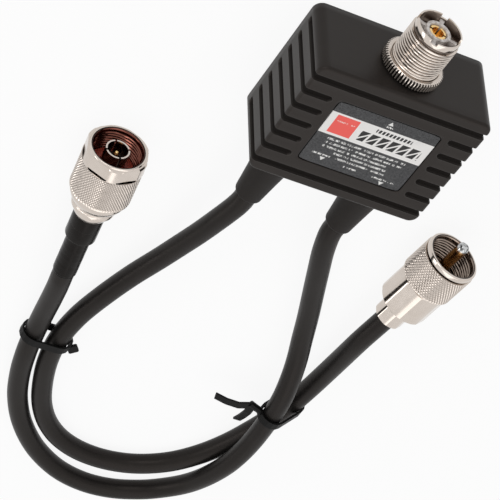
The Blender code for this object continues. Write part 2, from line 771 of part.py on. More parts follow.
def build_socket_ring(frame):
    """Ring nut with a straight knurl, screwed down on the housing's face."""
    low = GAP
    high = RING_HEIGHT
    bore = BARREL_RADIUS + GAP
    root = RING_RADIUS - TOOTH_DEPTH
    teeth = bpy.data.meshes.new("antenna_socket_ring")
    shape = bmesh.new()
    bmesh.ops.create_cone(
        shape,
        cap_ends=True,
        segments=2 * RING_TEETH,
        radius1=RING_RADIUS,
        radius2=RING_RADIUS,
        depth=high - low,
    )
    for vert in shape.verts:
        step = round(math.atan2(vert.co.y, vert.co.x) / (math.pi / RING_TEETH))
        if step % 2:
            vert.co.xy *= root / RING_RADIUS
    bmesh.ops.translate(shape, vec=(0, 0, (low + high) / 2), verts=shape.verts)
    shape.to_mesh(teeth)
    shape.free()
    ring = add_part("antenna_socket_ring", teeth, "nickel", frame)
    outer = RING_RADIUS + OVERLAP
    trim_profile = [
        (bore, high + OVERLAP),
        (root - RING_CHAMFER - OVERLAP, high + OVERLAP),
        (outer, high - RING_CHAMFER - (outer - root)),
        (outer, low - OVERLAP),
        (bore, low - OVERLAP),
    ]
    trim = turned("ring_trim", trim_profile, None, frame, steps=30)
    boolean(ring, trim, "INTERSECT")


def build_socket_insulator(frame):
    """Clear moulding: a hub round the contact and four ribs standing on a disc."""
    floor = BARREL_LENGTH - POCKET_DEPTH
    hub = BARREL_LENGTH - HUB_BELOW_RIM
    outer = BARREL_BORE - GAP
    shoulder = -WALL
    back = -(WALL + GAP + FLANGE_THICKNESS)
    tail = SOCKET_TAIL_BORE - GAP
    bore = CONTACT_RADIUS + GAP
    profile = [
        (bore, hub),
        (HUB_RADIUS, hub),
        (HUB_RADIUS, floor),
        (outer, floor),
        (outer, shoulder),
        (tail, shoulder),
        (tail, back),
        (bore, back),
    ]
    insulator = turned("antenna_socket_insulator", profile, "clear_insulator", frame, steps=20)
    rib_top = hub - RIB_BELOW_HUB
    height = rib_top - floor + OVERLAP
    reach = outer - HUB_RADIUS + OVERLAP
    centre_radius = outer - reach / 2
    for index in range(NOTCH_COUNT):
        angle = -(NOTCH_TURN + 2 * math.pi * index / NOTCH_COUNT)
        size = (reach, RIB_WIDTH, height)
        rib = box_mesh("rib", size, (centre_radius, 0, rib_top - height / 2))
        tool = add_cutter(f"socket_rib_{index}", rib, frame)
        tool.rotation_euler = (0, 0, angle)
        boolean(insulator, tool, "UNION")


def build_socket_contact(frame):
    """Gold contact: a slotted tube in front and a solder pin behind."""
    front = BARREL_LENGTH - CONTACT_BELOW_RIM
    bore_end = front - CONTACT_BORE_DEPTH
    back = -(WALL + GAP + FLANGE_THICKNESS)
    pin_end = back - SOLDER_PIN_LENGTH
    profile = [
        (0, bore_end),
        (CONTACT_BORE, bore_end),
        (CONTACT_BORE, front - EDGE_BREAK),
        (CONTACT_BORE + EDGE_BREAK, front),
        (CONTACT_RADIUS, front),
        (CONTACT_RADIUS, back),
        (SOLDER_PIN_RADIUS, back),
        (SOLDER_PIN_RADIUS, pin_end),
        (0, pin_end),
    ]
    contact = turned("antenna_socket_contact", profile, "gold", frame, steps=20)
    middle = front - CONTACT_SLIT_DEPTH / 2 + OVERLAP
    depth = CONTACT_SLIT_DEPTH + 2 * OVERLAP
    across = 2 * CONTACT_RADIUS + OVERLAP
    for index, angle in enumerate((0.0, math.pi / 2)):
        slit = box_mesh("contact_slit", (across, CONTACT_SLIT, depth), (0, 0, middle))
        tool = add_cutter(f"contact_slit_{index}", slit, frame)
        tool.rotation_euler = (0, 0, angle - NOTCH_TURN)
        boolean(contact, tool)
    return HOUSING_HEIGHT / 2 + pin_end


# Boots and the cables' ends inside the housing


def build_boot(name, x):
    """Tapered strain relief, its neck in the wall and its flange behind it."""
    frame = boot_frame(f"{name}_frame", x)
    end = BOOT_LENGTH
    nose = CABLE_RADIUS + EDGE_SLOPE
    inside = -(WALL + GAP)
    back = inside - BOOT_FLANGE_THICKNESS
    round_over = BOOT_END_RADIUS - nose
    corner = []
    for step in range(BOOT_LIP_STEPS + 1):
        angle = math.pi / 2 * (1 - step / BOOT_LIP_STEPS)
        along = end - round_over + round_over * math.sin(angle)
        corner.append((nose + round_over * math.cos(angle), along))
    profile = [(0, end)] + corner
    profile += [
        (BOOT_BASE_RADIUS, GAP + BOOT_BASE_EDGE),
        (BOOT_BASE_RADIUS, GAP),
        (BOOT_NECK_RADIUS, GAP),
        (BOOT_NECK_RADIUS, inside),
        (BOOT_FLANGE_RADIUS, inside),
        (BOOT_FLANGE_RADIUS, back),
        (0, back),
    ]
    turned(name, profile, "black_rubber", frame, steps=24)
    return frame, -HOUSING_HEIGHT / 2 - back


def build_cable_tail(name, x, start_y):
    """A cable's stripped end: jacket, dielectric, and the conductor bent down to the board."""
    frame = make_frame(f"{name}_frame", (x, start_y + GAP, BOOT_Z), 0.0)
    shoulder = JACKET_STUB + DIELECTRIC_STUB
    profile = [
        (0, shoulder),
        (DIELECTRIC_RADIUS, shoulder),
        (DIELECTRIC_RADIUS, JACKET_STUB),
        (CABLE_RADIUS, JACKET_STUB),
        (CABLE_RADIUS, 0),
        (0, 0),
    ]
    tail = turned(name, profile, "cable_jacket", frame, steps=16)
    bend = CONDUCTOR_BEND
    points = [
        (0, 0, shoulder - OVERLAP),
        (0, 0, shoulder + bend / 2),
        (0, bend * 0.3, shoulder + bend),
        (0, bend, shoulder + bend * 1.3),
        (0, BOOT_Z - BOARD_TOP, shoulder + bend * 1.3),
    ]
    wire = mesh_of_curve(polyline_curve("conductor", points, CONDUCTOR_RADIUS, 1), "conductor")
    boolean(tail, add_cutter(f"{name}_conductor", wire, frame), "UNION")


# Circuit


def build_board():
    """The circuit board, clamped between the shell's posts and the cover's stand-offs."""
    length = BOARD_TOP_Y - BOARD_BOTTOM_Y
    middle = (BOARD_TOP_Y + BOARD_BOTTOM_Y) / 2
    mesh = rounded_block(
        "circuit_board",
        (BOARD_WIDTH, length, BOARD_THICKNESS),
        (0, middle, BOARD_HEIGHT + BOARD_THICKNESS / 2),
        BOARD_CORNER,
    )
    add_part("circuit_board", mesh, "board")


def build_shield():
    """The metal wall that keeps the two halves of the filter apart."""
    high = BOARD_TOP_Y - SHIELD_BELOW_LEAD
    low = BOARD_BOTTOM_Y + SHIELD_UP
    shield = box_mesh(
        "shield_wall",
        (SHIELD_THICKNESS, high - low, SHIELD_HEIGHT),
        (0, (high + low) / 2, BOARD_TOP + SHIELD_HEIGHT / 2),
    )
    add_part("shield_wall", shield, "nickel")


def coil_points(side, y, radius):
    """A helix along X beside the shield, with a leg down to the board at each end."""
    axis = BOARD_TOP + COIL_LIFT + 2 * COIL_WIRE_RADIUS + radius
    length = COIL_TURNS * COIL_PITCH
    near = SHIELD_THICKNESS / 2 + COIL_BESIDE_SHIELD + COIL_WIRE_RADIUS
    start = near + COIL_LEG_STEP
    far = start + length + COIL_LEG_STEP
    leg_y = y + radius
    leg_top = axis - COIL_LEG_STEP
    count = COIL_TURNS * COIL_POINTS_PER_TURN
    points = [(near, leg_y, BOARD_TOP), (near, leg_y, leg_top)]
    for i in range(count + 1):
        angle = 2 * math.pi * i / COIL_POINTS_PER_TURN
        x = start + length * i / count
        points.append((x, y + radius * math.cos(angle), axis + radius * math.sin(angle)))
    points += [(far, leg_y, leg_top), (far, leg_y, BOARD_TOP)]
    return [(side * x, y, z) for x, y, z in points]


def build_coils():
    """Air-core coils: three in the low-pass half, two smaller ones in the high-pass half."""
    first = BOARD_TOP_Y - COIL_ROW_INSET
    places = [("low_coil", 3 - row, -1, row, LOW_COIL_RADIUS) for row in range(3)]
    places += [("high_coil", 3 - row, 1, row, HIGH_COIL_RADIUS) for row in (1, 2)]
    for kind, number, side, row, radius in places:
        name = f"{kind}_{number}"
        points = coil_points(side, first - row * COIL_ROW_PITCH, radius)
        add_part(name, polyline_curve(name, points, COIL_WIRE_RADIUS, 1), "copper_wire")


def build_capacitors():
    """Dipped block capacitors, each on two legs, beside the gaps between the coils."""
    first = BOARD_TOP_Y - COIL_ROW_INSET - COIL_ROW_PITCH / 2
    across = BOARD_WIDTH / 2 - CAPACITOR_INSET
    places = [("low", 2 - row, -across, first - row * LOW_CAPACITOR_PITCH) for row in range(2)]
    places += [("high", 3 - row, across, first - row * HIGH_CAPACITOR_PITCH) for row in range(3)]
    middle = BOARD_TOP + CAPACITOR_LEG_LENGTH + CAPACITOR_SIZE[2] / 2
    leg_height = CAPACITOR_LEG_LENGTH + OVERLAP
    leg_size = (CAPACITOR_LEG, CAPACITOR_LEG, leg_height)
    for kind, number, x, y in places:
        name = f"{kind}_capacitor_{number}"
        centre = (x, y, middle)
        mesh = rounded_block(name, CAPACITOR_SIZE, centre, CAPACITOR_CORNER, CAPACITOR_EDGE, 2)
        body = add_part(name, mesh, "capacitor")
        for side in (-1, 1):
            leg_x = x + side * CAPACITOR_LEG_SPREAD
            leg = box_mesh("leg", leg_size, (leg_x, y, BOARD_TOP + leg_height / 2))
            boolean(body, add_cutter(f"{name}_leg_{side + 1}", leg), "UNION")


def build_antenna_lead(pin_end_y):
    """The wire from the socket's solder pin down to the board."""
    y = pin_end_y - GAP
    bend = CONDUCTOR_BEND
    points = [
        (SOCKET_X, y, SOCKET_Z),
        (SOCKET_X, y - bend / 2, SOCKET_Z),
        (SOCKET_X, y - bend * 0.85, SOCKET_Z - bend * 0.3),
        (SOCKET_X, y - bend, SOCKET_Z - bend),
        (SOCKET_X, y - bend, BOARD_TOP),
    ]
    wire = polyline_curve("antenna_lead", points, CONDUCTOR_RADIUS)
    add_part("antenna_lead", wire, "copper_wire")



# N plug


def n_frame():
    """The N plug's axis, lying with its nut just clear of the floor."""
    height = N_NUT_RADIUS + FLOOR_CLEARANCE
    return make_frame("n_plug_axis", (*N_RIM_CENTRE, height), N_AXIS_TURN)


def build_n_nut(frame):
    """Coupling nut: hexagon in front, band for the knurl, tapered back and a hole behind."""
    mouth = N_THREAD_RADIUS
    relief = mouth + N_RELIEF_DEPTH
    thread_end = -N_FACE_DEPTH - N_THREAD_RUN_OUT
    floor = -N_NUT_LENGTH + N_BACK_WALL
    groove = N_NUT_RADIUS - N_HEX_GROOVE_DEPTH
    groove_end = -N_HEX_LENGTH - N_HEX_GROOVE_WIDTH
    ring = N_NUT_RADIUS - N_RING_STEP
    profile = [
        (relief, 0),
        (N_RIM_RADIUS, 0),
        (N_NUT_RADIUS, -N_FRONT_CHAMFER),
        (N_NUT_RADIUS, -N_HEX_LENGTH),
        (groove, -N_HEX_LENGTH - EDGE_SLOPE),
        (groove, groove_end),
        (N_NUT_RADIUS, groove_end - EDGE_SLOPE),
        (N_NUT_RADIUS, -N_KNURL_END + N_KNURL_CHAMFER),
        (N_NUT_RADIUS - N_KNURL_CHAMFER, -N_KNURL_END),
        (ring, -N_KNURL_END - EDGE_BREAK),
        (ring, -N_NUT_LENGTH + N_RING_TAPER_LENGTH),
        (ring - N_RING_TAPER, -N_NUT_LENGTH),
        (N_NUT_BACK_HOLE, -N_NUT_LENGTH),
        (N_NUT_BACK_HOLE, floor),
        (relief, floor),
        (relief, thread_end - N_RELIEF_DEPTH),
        (mouth, thread_end),
        (mouth, -N_RELIEF_DEPTH),
    ]
    nut = turned("n_plug_nut", profile, "nickel", frame)
    corner = N_HEX_FLATS / 2 / math.cos(math.pi / 6)
    outlines = [circle_outline(1.5 * N_NUT_RADIUS, 24), circle_outline(corner, 6, N_HEX_TURN)]
    length = N_HEX_LENGTH + OVERLAP
    hexagon = mesh_of_curve(flat_curve("hex_cut", outlines, length), "hex_cut")
    tool = add_cutter("hex_cut", hexagon, frame)
    tool.location = (0, 0, OVERLAP - length / 2)
    boolean(nut, tool)


def build_n_body(frame):
    """Plug body: a face for the gasket, a neck in the nut's hole and stepped metal behind."""
    face = -N_FACE_DEPTH
    seat = face - N_CONTACT_SEAT
    pocket = N_CONTACT_RADIUS + GAP
    neck = N_NUT_BACK_HOLE - GAP
    nut_wall = -N_NUT_LENGTH + N_BACK_WALL + GAP
    back = -N_NUT_LENGTH - GAP
    step = back - N_COLLAR_LENGTH
    profile = [
        (0, seat),
        (pocket, seat),
        (pocket, face),
        (N_BODY_FLANGE, face),
        (N_BODY_FLANGE, nut_wall),
        (neck, nut_wall),
        (neck, back),
        (N_BODY_RADIUS, back),
        (N_BODY_RADIUS, step),
        (N_BODY_RADIUS - N_COLLAR_STEP, step - N_COLLAR_SLOPE),
        (N_BODY_END_RADIUS, -N_METAL_LENGTH),
        (0, -N_METAL_LENGTH),
    ]
    turned("n_plug_body", profile, "nickel", frame, steps=24)


def build_n_contacts(frame):
    """Slit outer sleeve, gasket round it, white insulator in it and the gold pin."""
    front = -N_CONTACT_RECESS
    seat = -N_FACE_DEPTH - N_CONTACT_SEAT + GAP
    profile = [
        (N_CONTACT_BORE + EDGE_BREAK, front),
        (N_CONTACT_RADIUS - EDGE_BREAK, front),
        (N_CONTACT_RADIUS, front - 2 * EDGE_BREAK),
        (N_CONTACT_RADIUS, seat),
        (N_CONTACT_BORE, seat),
        (N_CONTACT_BORE, front - EDGE_BREAK),
    ]
    sleeve = turned("n_plug_outer_contact", profile, "nickel", frame, steps=24)
    depth = N_SLIT_DEPTH + 2 * OVERLAP
    across = 2 * N_CONTACT_RADIUS + OVERLAP
    middle = front - depth / 2 + OVERLAP
    for index, angle in enumerate((0.0, math.pi / 2)):
        slit = box_mesh("slit", (across, N_SLIT_WIDTH, depth), (0, 0, middle))
        tool = add_cutter(f"n_slit_{index}", slit, frame)
        tool.rotation_euler = (0, 0, angle + N_SLIT_TURN)
        boolean(sleeve, tool)
    low = -N_FACE_DEPTH + GAP
    high = low + N_GASKET_THICKNESS
    inner = N_CONTACT_RADIUS + GAP
    outer = N_THREAD_RADIUS - 2 * GAP
    ring = [(inner, high), (outer, high), (outer, low), (inner, low)]
    turned("n_plug_gasket", ring, "red_gasket", frame, steps=28)
    plug_front = -N_INSULATOR_DEPTH
    hole = N_PIN_RADIUS + GAP
    wall = N_CONTACT_BORE - GAP
    disc = [(hole, plug_front), (wall, plug_front), (wall, seat), (hole, seat)]
    turned("n_plug_insulator", disc, "white_insulator", frame, steps=20)
    tip = -N_PIN_RECESS
    pin = [
        (0, tip),
        (N_PIN_POINT_RADIUS, tip - EDGE_SLOPE),
        (N_PIN_RADIUS, tip - N_PIN_POINT_LENGTH),
        (N_PIN_RADIUS, seat),
        (0, seat),
    ]
    turned("n_plug_pin", pin, "gold", frame, steps=12)


def build_n_sleeves(frame):
    """Black tube over the crimp, then the heat-shrink that grips the cable."""
    start = -N_METAL_LENGTH - GAP
    end = start - N_SLEEVE_LENGTH
    tube = [
        (0, start),
        (N_SLEEVE_RADIUS - EDGE_SLOPE, start),
        (N_SLEEVE_RADIUS, start - EDGE_SLOPE),
        (N_SLEEVE_RADIUS, end + N_SLEEVE_EDGE),
        (N_SLEEVE_RADIUS - N_SLEEVE_EDGE, end),
        (0, end),
    ]
    turned("n_plug_sleeve", tube, "black_rubber", frame, steps=24)
    start = end - GAP
    end = start - N_SHRINK_LENGTH
    shrink = [
        (0, start),
        (N_SHRINK_RADIUS, start),
        (N_SHRINK_RADIUS, end + N_SHRINK_EDGE),
        (N_SHRINK_RADIUS - EDGE_SLOPE, end),
        (0, end),
    ]
    turned("n_plug_heat_shrink", shrink, "black_rubber", frame, steps=20)
    return end


# UHF plug


def uhf_frame():
    """The UHF plug's axis, lying with its shell just clear of the floor."""
    height = UHF_SHELL_RADIUS + FLOOR_CLEARANCE
    return make_frame("uhf_plug_axis", (*UHF_RIM_CENTRE, height), UHF_AXIS_TURN)


def build_uhf_shell(frame):
    """Coupling shell: a smooth rim ring, a band for the knurl and a hole at the back."""
    mouth = UHF_THREAD_RADIUS
    relief = mouth + UHF_RELIEF_DEPTH
    rim = UHF_RIM_RADIUS
    groove = rim - EDGE_SLOPE
    groove_start = -UHF_RIM_LENGTH
    groove_end = groove_start - UHF_RIM_GROOVE_WIDTH
    back = -UHF_SHELL_LENGTH
    floor = back + UHF_BACK_WALL
    thread_end = floor + UHF_RELIEF_LENGTH
    profile = [
        (mouth + EDGE_BREAK, 0),
        (rim - EDGE_SLOPE, 0),
        (rim, -EDGE_SLOPE),
        (rim, groove_start),
        (groove, groove_start - EDGE_SLOPE / 2),
        (groove, groove_end),
        (UHF_SHELL_RADIUS, groove_end - EDGE_SLOPE),
        (UHF_SHELL_RADIUS, back + UHF_BACK_CHAMFER),
        (UHF_SHELL_RADIUS - UHF_BACK_CHAMFER, back),
        (UHF_SHELL_BACK_HOLE, back),
        (UHF_SHELL_BACK_HOLE, floor),
        (relief, floor),
        (relief, thread_end),
        (mouth, thread_end + EDGE_BREAK),
        (mouth, -EDGE_BREAK),
    ]
    turned("uhf_plug_shell", profile, "nickel", frame)


def build_uhf_body(frame):
    """Plug body: a round front with the ridge that keeps the shell on, then an octagon."""
    face = -UHF_FACE_DEPTH
    floor = face - UHF_INSULATOR_THICKNESS
    pocket = UHF_INSULATOR_RADIUS + GAP
    ridge_back = -UHF_SHELL_LENGTH + UHF_BACK_WALL + GAP
    ridge_front = ridge_back + UHF_RIDGE_LENGTH
    step = -UHF_SHELL_LENGTH - GAP
    profile = [
        (0, floor),
        (pocket, floor),
        (pocket, face),
        (UHF_BODY_RADIUS, face),
        (UHF_BODY_RADIUS, ridge_front),
        (UHF_RIDGE_RADIUS, ridge_front),
        (UHF_RIDGE_RADIUS, ridge_back),
        (UHF_BODY_RADIUS, ridge_back),
        (UHF_BODY_RADIUS, step - OVERLAP),
        (0, step - OVERLAP),
    ]
    body = turned("uhf_plug_body", profile, "nickel", frame, steps=24)
    faceted = faceted_bar("octagon", UHF_OCTAGON_RADIUS, step, -UHF_OCTAGON_END)
    boolean(body, add_cutter("octagon", faceted, frame), "UNION")


def faceted_bar(name, radius, high, low):
    """An eight-sided bar with its ends lightly chamfered."""
    mesh = bpy.data.meshes.new(name)
    shape = bmesh.new()
    bmesh.ops.create_cone(
        shape, cap_ends=True, segments=8, radius1=radius, radius2=radius, depth=high - low
    )
    turn = UHF_OCTAGON_TURN - math.pi / 2
    bmesh.ops.rotate(shape, cent=(0, 0, 0), matrix=turn_about_z(turn), verts=shape.verts)
    ends = [e for e in shape.edges if abs((e.verts[0].co - e.verts[1].co).z) < OVERLAP]
    bmesh.ops.bevel(shape, geom=ends, offset=FACET_CHAMFER, segments=1, affect="EDGES")
    bmesh.ops.translate(shape, vec=(0, 0, (high + low) / 2), verts=shape.verts)
    shape.to_mesh(mesh)
    shape.free()
    return mesh


def build_uhf_core(frame):
    """Reducer behind the body, insulator in its face, and the hollow centre pin."""
    reducer = faceted_bar("reducer", UHF_REDUCER_RADIUS, -UHF_OCTAGON_END - GAP, -UHF_LENGTH)
    add_part("uhf_plug_reducer", reducer, "nickel", frame)
    face = -UHF_FACE_DEPTH
    floor = face - UHF_INSULATOR_THICKNESS + GAP
    hole = UHF_PIN_RADIUS + GAP
    disc = [
        (hole, face),
        (UHF_INSULATOR_RADIUS, face),
        (UHF_INSULATOR_RADIUS, floor),
        (hole, floor),
    ]
    turned("uhf_plug_insulator", disc, "white_insulator", frame, steps=24)
    dome = [(UHF_PIN_RADIUS * share, UHF_PIN_PROUD - down) for share, down in UHF_PIN_DOME]
    pin = [(0, UHF_PIN_PROUD), *dome, (UHF_PIN_RADIUS, floor), (0, floor)]
    turned("uhf_plug_pin", pin, "gold", frame, steps=16)


# Cables


def smooth_points(route, spacing):
    """Points at even spacing along the smooth curve through the route's inner points.

    The curve is a Catmull-Rom spline: between two points it leaves and arrives along the
    chord that joins their neighbours. The first and last points only steer its ends.
    """
    knots = [Vector(p) for p in route]
    fine = []
    for a, b, c, d in zip(knots, knots[1:], knots[2:], knots[3:]):
        for step in range(24):
            t = step / 24
            fine.append(
                0.5
                * (
                    2 * b
                    + (c - a) * t
                    + (2 * a - 5 * b + 4 * c - d) * t**2
                    + (3 * b - a - 3 * c + d) * t**3
                )
            )
    fine.append(knots[-2])
    reach = [0.0]
    for first, second in zip(fine, fine[1:]):
        reach.append(reach[-1] + (second - first).length)
    count = max(2, round(reach[-1] / spacing))
    points = []
    cursor = 0
    for index in range(count + 1):
        target = reach[-1] * index / count
        while cursor < len(reach) - 2 and reach[cursor + 1] < target:
            cursor += 1
        span = reach[cursor + 1] - reach[cursor]
        points.append(fine[cursor].lerp(fine[cursor + 1], (target - reach[cursor]) / span))
    return points


def axis_point(frame, height):
    """A point on a plug's or boot's axis, at a height measured along it."""
    return frame.location + frame.rotation_euler.to_matrix() @ Vector((0, 0, height))


def lead_in(route, side, start):
    """The route with its first points moved along with the boot, each less than the last."""
    drawn = Vector((side * ROUTE_START[0], *ROUTE_START[1:]))
    moved = []
    for index, point in enumerate(route):
        share = max(0.0, 1.0 - index / LEAD_IN_POINTS)
        moved.append(Vector(point) + (start - drawn) * share)
    return moved


def build_cable(name, route, side, boot, plug, plug_end):
    """A cable from the end of its boot to the back of its plug, straight at both ends."""
    boot_end = BOOT_LENGTH + GAP
    start = [axis_point(boot, boot_end), axis_point(boot, boot_end + STRAIGHT_END)]
    end = [axis_point(plug, plug_end - GAP - STRAIGHT_END), axis_point(plug, plug_end - GAP)]
    between = lead_in(route, side, start[0])
    smooth = smooth_points(start + between + end, POINT_SPACING)
    points = start[:1] + smooth + end[1:]
    add_part(name, polyline_curve(name, points, CABLE_RADIUS), "cable_jacket")
    return points


# Twist ties


def crossing(points, y, side):
    """Where a cable passes the plane at y, on the left (-1) or right (+1) of the bundle."""
    for first, second in zip(points, points[1:]):
        if (first.y - y) * (second.y - y) <= 0.0 and first.x * side > 0.0:
            return first.lerp(second, (y - first.y) / (second.y - first.y))


def tie_loop(low, high):
    """Outlines of a band round two cables, in the plane of X and Z: outer, then inner."""
    across = math.hypot(high.x - low.x, high.z - low.z)
    turn = math.atan2(high.z - low.z, high.x - low.x)
    inner = CABLE_RADIUS + TIE_CLEARANCE
    outlines = []
    for radius in (inner + TIE_THICKNESS, inner):
        outline = []
        for centre, start in ((across / 2, -math.pi / 2), (-across / 2, math.pi / 2)):
            for step in range(TIE_ARC_STEPS + 1):
                angle = start + math.pi * step / TIE_ARC_STEPS
                along = centre + radius * math.cos(angle)
                side = radius * math.sin(angle)
                x = along * math.cos(turn) - side * math.sin(turn)
                z = along * math.sin(turn) + side * math.cos(turn)
                outline.append((x, z))
        outlines.append(outline)
    return outlines


def strip_outline(points, thickness):
    """The outline of a thin strip that follows a line of points in a plane."""
    left = []
    right = []
    for index, (x, y) in enumerate(points):
        ahead = points[min(index + 1, len(points) - 1)]
        behind = points[max(index - 1, 0)]
        along = Vector((ahead[0] - behind[0], ahead[1] - behind[1])).normalized()
        normal = Vector((-along.y, along.x)) * thickness / 2
        left.append((x + normal.x, y + normal.y))
        right.append((x - normal.x, y - normal.y))
    return right + list(reversed(left))


def stand_up(obj, centre, yaw=0.0):
    """Stand a flat plate up, so that its own Y is up, and place it."""
    obj.location = centre
    obj.rotation_euler = (math.pi / 2, 0.0, yaw)


def build_left_tie(low_points, high_points):
    """Tie round the two cables side by side, with the folded stub of its twist."""
    low = crossing(low_points, LEFT_TIE_Y, -1)
    high = crossing(high_points, LEFT_TIE_Y, -1)
    centre = (low + high) / 2
    loop = mesh_of_curve(flat_curve("tie_left", tie_loop(low, high), TIE_WIDTH), "tie_left")
    tie = add_part("tie_left", loop, "black_rubber")
    stand_up(tie, centre)
    reach = (low.x - high.x) / 2 + CABLE_RADIUS + TIE_CLEARANCE
    stub = rounded_block("stub", STUB_SIZE, (0, 0, 0), STUB_CORNER, EDGE_SLOPE, 1)
    tool = add_cutter("tie_left_stub", stub)
    tool.location = centre + Vector((reach, 0, 0)) + Vector(STUB_PLACE)
    tool.rotation_euler = (0.0, STUB_TILT, STUB_TURN)
    boolean(tie, tool, "UNION")


def build_right_tie(low_points, high_points):
    """Tie round the crossing of the cables, twisted at the side, with two flat tails."""
    low = crossing(low_points, RIGHT_TIE_Y, 1)
    high = crossing(high_points, RIGHT_TIE_Y, 1)
    centre = (low + high) / 2
    loop = mesh_of_curve(flat_curve("tie_right", tie_loop(low, high), TIE_WIDTH), "tie_right")
    tie = add_part("tie_right", loop, "black_rubber")
    stand_up(tie, centre)
    reach = CABLE_RADIUS + TIE_CLEARANCE + TIE_THICKNESS + KNOT_REACH
    knot = high + Vector((-reach, KNOT_RISE, 0))
    twist = mesh_of_curve(polyline_curve("twist", TWIST_PATH, TWIST_RADIUS), "twist")
    tool = add_cutter("tie_right_twist", twist)
    tool.location = knot
    boolean(tie, tool, "UNION")
    tails = (("long", LONG_TAIL, LONG_TAIL_TURN), ("short", SHORT_TAIL, SHORT_TAIL_TURN))
    root = knot + Vector(TAIL_ROOT)
    for name, path, yaw in tails:
        curve = flat_curve(name, [strip_outline(path, TIE_THICKNESS)], TAIL_WIDTH)
        strip = add_cutter(f"tie_right_{name}_tail", mesh_of_curve(curve, name))
        stand_up(strip, root, yaw)
        boolean(tie, strip, "UNION")


def build_all():
    """Every piece, in the order in which the real one is put together."""
    build_housing()
    build_cover()
    build_screws()
    build_label()
    socket = socket_frame("antenna_socket_axis")
    build_socket_body(socket)
    build_socket_ring(socket)
    build_socket_insulator(socket)
    pin_end_y = build_socket_contact(socket)
    build_antenna_lead(pin_end_y)
    low_boot, inner_y = build_boot("low_boot", -BOOT_X)
    high_boot, inner_y = build_boot("high_boot", BOOT_X)
    build_cable_tail("low_cable_tail", -BOOT_X, inner_y)
    build_cable_tail("high_cable_tail", BOOT_X, inner_y)
    build_board()
    build_shield()
    build_coils()
    build_capacitors()
    n_axis = n_frame()
    build_n_nut(n_axis)
    build_n_body(n_axis)
    build_n_contacts(n_axis)
    n_end = build_n_sleeves(n_axis)
    uhf_axis = uhf_frame()
    build_uhf_shell(uhf_axis)
    build_uhf_body(uhf_axis)
    build_uhf_core(uhf_axis)
    low = build_cable("low_cable", LOW_ROUTE, -1, low_boot, uhf_axis, -UHF_LENGTH)
    high = build_cable("high_cable", HIGH_ROUTE, 1, high_boot, n_axis, n_end)
    build_left_tie(low, high)
    build_right_tie(low, high)


build_all()
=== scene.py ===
# %% [markdown]
# # A ribbed antenna duplexer with two coaxial leads
#
# A duplexer joins two radios to one aerial. This one is a moulded black box, ribbed at both ends,
# with a threaded socket on one face and two coaxial leads out of the opposite face. It lies on its
# back, and the leads lie in a loop in front of it. The solid model settles every size and place.
# This script dresses it: threads, knurls, moulded grain, print, light and a camera.

# %% Load the frame
import math

import bmesh
import bpy
import numpy as np
from mathutils import Matrix


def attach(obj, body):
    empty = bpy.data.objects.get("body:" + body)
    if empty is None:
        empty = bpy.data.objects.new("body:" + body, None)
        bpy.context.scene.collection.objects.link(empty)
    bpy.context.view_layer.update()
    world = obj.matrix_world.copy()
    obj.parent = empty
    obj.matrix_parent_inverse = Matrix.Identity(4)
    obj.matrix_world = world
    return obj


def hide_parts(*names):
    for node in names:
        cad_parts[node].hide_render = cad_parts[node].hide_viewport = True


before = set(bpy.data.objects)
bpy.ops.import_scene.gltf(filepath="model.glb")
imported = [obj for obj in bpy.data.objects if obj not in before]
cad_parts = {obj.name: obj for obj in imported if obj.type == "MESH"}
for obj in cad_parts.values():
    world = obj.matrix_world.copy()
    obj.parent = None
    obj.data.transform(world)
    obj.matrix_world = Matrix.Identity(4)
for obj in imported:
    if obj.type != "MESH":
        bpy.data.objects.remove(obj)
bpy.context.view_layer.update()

MAIN = "duplexer"
N_NUT = "n_coupling_nut"
UHF_SHELL = "uhf_coupling_shell"

# %% [markdown]
# ## Shared sizes
#
# Lengths are in millimetres until a mesh is made. The socket and the two plugs are each turned
# about an axis of their own: a place is the middle of the rim, and how far the axis swings from +Y
# towards +X.

# %% Sizes and places
MM = 0.001
PER_METRE = 1000.0
HALF_X, HALF_Y, DEPTH = 29.4, 23.55, 28.0
CABLE_DIAMETER = 7.36
JOINT_GAP = 0.3
SOCKET_PLACE = ((1.1, HALF_Y, 15.0), 0.0)
N_PLACE = ((-59.4, -49.6, 10.4), math.radians(-8.3))
UHF_PLACE = ((60.6, -47.9, 10.0), math.radians(6.5))
print("box", 2 * HALF_X, "x", 2 * HALF_Y, "x", DEPTH, "mm, cable", CABLE_DIAMETER, "mm")

# %% [markdown]
# ## The camera
#
# The photograph was measured first: the box's edges, the label and the threaded barrel fix where
# the camera stood. It is a long lens from the socket's side, with the picture's top towards the
# socket. Three unit vectors say how the camera is turned: to the right, up and back towards it.

# %% Camera
CAMERA_PLACE = (-0.2787, 0.4276, 0.5151)
CAMERA_RIGHT = (0.8848, 0.4654, 0.0245)
CAMERA_UP = (-0.2914, 0.5935, -0.7502)
CAMERA_BACK = (-0.3637, 0.6567, 0.6607)


def stand(name, data, right, up, back, place):
    """A camera or a lamp whose own axes are these three vectors, at its place."""
    made = bpy.data.objects.new(name, data)
    bpy.context.scene.collection.objects.link(made)
    made.matrix_world = Matrix((*zip(right, up, back, place), (0, 0, 0, 1)))
    return made


lens = bpy.data.cameras.new("camera")
lens.lens = 169.8
lens.sensor_width = 36.0
lens.clip_start = 0.01
lens.clip_end = 20.0
camera = stand("camera", lens, CAMERA_RIGHT, CAMERA_UP, CAMERA_BACK, CAMERA_PLACE)
bpy.context.scene.camera = camera
print("field of view in degrees:", round(math.degrees(lens.angle), 1))

# %% [markdown]
# ## Shader maths as Python
#
# A procedural finish is a sum: so much grain here, a darker ring there. Writing it as an expression
# is easier to read than a list of nodes, so a small class wraps a node's output, and its operators
# add Math nodes. Any other node comes from one method that takes its settings and its inputs.

